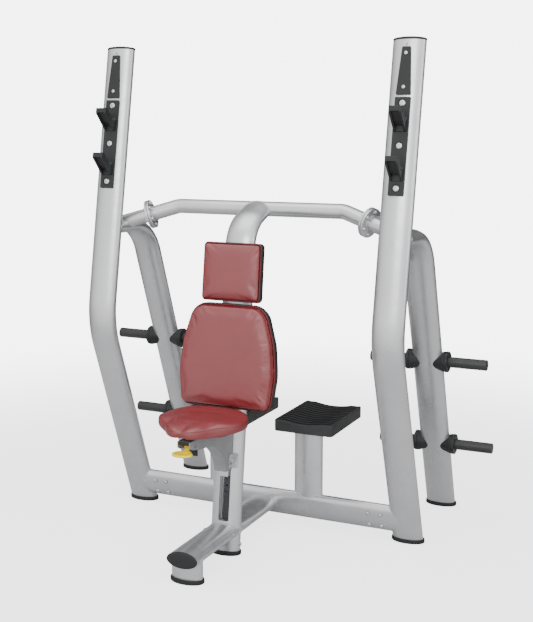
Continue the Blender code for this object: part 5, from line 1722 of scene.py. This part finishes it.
    def lock(self) -> None:
        """The pin that drops into the strip's stops, turned to a point at its tip."""
        tip, tail = (LAYOUT.post_axes(self.lock_z).at(0.0, ahead, 0.0)
                     for ahead in self.lock_ends)
        r, length = self.lock_radius, float(np.linalg.norm(tail - tip))
        profile = [(0.0034, 0.0), (0.0040, 0.0005), (r, 0.0060), (r, length - 0.0010),
                   (r - 0.0010, length)]
        piece("locking_pin", turned(profile, 40).placed(axes(X_AXIS, tail - tip, tip)), STEEL,
              "lock", ["lock_pin"])

    def lever(self) -> None:
        """The yellow paddle on its flared neck, the hub, and the pin it turns on."""
        pivot = np.array((0.0, *self.pivot))
        across = axes(Y_AXIS, X_AXIS, pivot)
        hub = turned([(0.0098, -0.0130), (0.0105, -0.0124), (0.0105, 0.0124),
                      (0.0098, 0.0130)], 48).placed(across)
        rim = [(0.30, -0.0040), (0.75, -0.0043), (0.90, -0.0042), (0.965, -0.0034),
               (0.995, -0.0016), (1.0, 0.0), (0.995, 0.0018), (0.965, 0.0034), (0.92, 0.0042),
               (0.84, 0.0040), (0.55, 0.0026), (0.20, 0.0020)]
        plate = turned(rim, 72).stretched((0.037, 0.030, 1.0), self.paddle)
        path, heading = route([pivot, (0.0, -0.684, 0.4700), (0.0, -0.707, 0.4665)], [0.012],
                              6.0)
        share = np.linspace(0.0, 1.0, len(path))[:, None]
        wide, tall = 0.0080 + 0.0150 * share ** 2.2, 0.0068 - 0.0034 * share
        turn = angles(40)[None]
        other = np.cross(heading, X_AXIS)
        neck = (path[:, None] + X_AXIS * (wide * np.sign(np.cos(turn))
                                          * np.abs(np.cos(turn)) ** 0.7)[..., None]
                + other[:, None] * (tall * np.sin(turn))[..., None])
        piece("release_paddle", joined([hub, plate, lattice(neck)]), YELLOW, "lever",
              ["release_lever"])
        reach = self.half_width + 0.003
        pin = [(self.pin - 0.0008, -reach), (self.pin, 0.0008 - reach),
               (self.pin, reach - 0.0008), (self.pin - 0.0008, reach)]
        piece("paddle_pin", turned(pin, 32).placed(across), STEEL, "seat_unit", ["lever_pin"])

    def build(self) -> None:
        """Makes the carriage and all that rides with it."""
        self.body()
        self.latch()
        self.guides()
        self.lock()
        self.lever()


# ------------------------------------------------------------------ studio
@dataclass(frozen=True)
class Panel:
    """A square soft light, with its size in metres and its power in watts."""

    name: str
    place: tuple
    size: float
    power: float
    aim: tuple = (0.0, 0.0, 0.9)

    def build(self) -> None:
        """Hangs the light in its place, facing its aim."""
        light = bpy.data.lights.new(self.name, "AREA")
        light.size, light.energy = self.size, self.power
        obj = bpy.data.objects.new(self.name, light)
        where = axes(X_AXIS, np.array(self.place) - np.array(self.aim), self.place)
        turn = Matrix(np.stack((where.x, where.y, where.z), 1).tolist())
        obj.matrix_world = Matrix.Translation(self.place) @ turn.to_4x4()
        bpy.context.scene.collection.objects.link(obj)


@dataclass(frozen=True)
class Studio:
    """A pale floor, soft light from all round, and the camera."""

    eye: tuple = (1.761, -3.7189, 1.5716)
    tilt: float = -9.65                   # degrees above level
    turn: float = 24.78                   # degrees left of straight ahead
    lens: float = 63.03
    room: float = 1.90                    # strength of the sky in the key direction
    fill: float = 0.08                    # and opposite to it
    key: tuple = (0.10, -0.80, 0.60)
    key_range: tuple = (-0.45, 0.95)      # cosines to the key that are all fill and all room
    backdrop: float = 6.0                 # strength of the ground that the camera sees
    floor_half: float = 12.0
    floor_glow: float = 2.4
    floor_fade: tuple = (1.4, 4.2)        # distances where the floor starts and ends to fade
    panels: tuple = (Panel("front_panel", (1.2, -4.5, 3.2), 2.4, 70.0),
                     Panel("top_panel", (-0.5, -0.5, 4.6), 3.0, 50.0, (0.0, 0.0, 0.8)),
                     Panel("side_panel", (4.0, -0.6, 2.0), 2.0, 25.0))

    def sky(self) -> None:
        """Soft light from all round, strongest from in front and above, on a white ground.

        The light's strength rises with the cosine between a direction and the key direction.
        """
        world = bpy.data.worlds.new("studio")
        world.use_nodes = True
        tree = Tree(world.node_tree)
        toward = tree.add("VectorMath", {0: tree.add("TexCoord", {})["Generated"],
                                         1: tuple(unit(self.key))}, operation="DOT_PRODUCT")
        light = tree.spread(toward["Value"], self.fill, self.room, *self.key_range, "SMOOTHSTEP")
        seen = tree.add("Mix", {"Factor": tree.to_camera(), "A": light, "B": self.backdrop})
        tree.fill(world.node_tree.nodes["Background"],
                  {"Color": (1.0, 1.0, 1.0, 1.0), "Strength": seen["Result"]})
        bpy.context.scene.world = world

    def floor(self) -> None:
        """The pale floor: bright to the camera alone, and fading into the ground further out."""
        span = self.floor_half
        plane = bpy.data.meshes.new("floor")
        plane.from_pydata([(-span, -span, 0), (span, -span, 0), (span, span, 0),
                           (-span, span, 0)], [], [(0, 1, 2, 3)])
        material = FLOOR.made()
        tree = Tree(material.node_tree)
        glow = tree.add("Math", {0: tree.to_camera(), 1: self.floor_glow}, operation="MULTIPLY")
        away = tree.add("VectorMath", {0: tree.add("TexCoord", {})["Object"]},
                        operation="LENGTH")
        tree.fill(material.node_tree.nodes["Principled BSDF"],
                  {"Emission Color": (1.0, 1.0, 1.0, 1.0), "Emission Strength": glow["Value"],
                   "Alpha": tree.spread(away["Value"], 1.0, 0.0, *self.floor_fade,
                                        "SMOOTHSTEP")})
        plane.materials.append(material)
        ground = bpy.data.objects.new("floor", plane)
        bpy.context.scene.collection.objects.link(ground)

    def build(self) -> None:
        """Makes the floor, the sky, the lights and the camera."""
        self.floor()
        self.sky()
        for panel in self.panels:
            panel.build()
        camera = bpy.data.cameras.new("camera")
        camera.lens = self.lens
        obj = bpy.data.objects.new("camera", camera)
        obj.location = self.eye
        obj.rotation_euler = (math.radians(90.0 + self.tilt), 0.0, math.radians(self.turn))
        bpy.context.scene.collection.objects.link(obj)
        bpy.context.scene.camera = obj


def main() -> None:
    """Builds each sub-assembly in turn and reports its pieces."""
    logging.basicConfig(level=logging.INFO, format="%(name)s: %(message)s")
    head = BackCushion("head", z=1.040, proud=0.080, bulge=0.014, radii=(0.016,) * 4,
                       corners=((-0.119, -0.1075), (0.119, -0.1075), (0.118, 0.1075),
                                (-0.118, 0.1075)))
    back = BackCushion("back", z=0.740, proud=0.092, bulge=0.004,
                       radii=(0.035, 0.035, 0.20, 0.20, 0.075, 0.075, 0.20, 0.20),
                       corners=((-0.182, -0.196), (0.182, -0.196), (0.1975, -0.065),
                                (0.187, 0.045), (0.145, 0.187), (-0.145, 0.187),
                                (-0.187, 0.045), (-0.1975, -0.065)))
    parts = [part(name, side) for name, side in SIDES.items()
             for part in (SideFrame, BarRack, WeightHorns, Step)]
    parts += [TopTube(), Base(), CentrePost(), head, back, Seat(), Carriage(), Studio()]
    for part in parts:
        LOG.info("building %s", type(part).__name__)
        part.build()


if __name__ == "__main__":
    main()
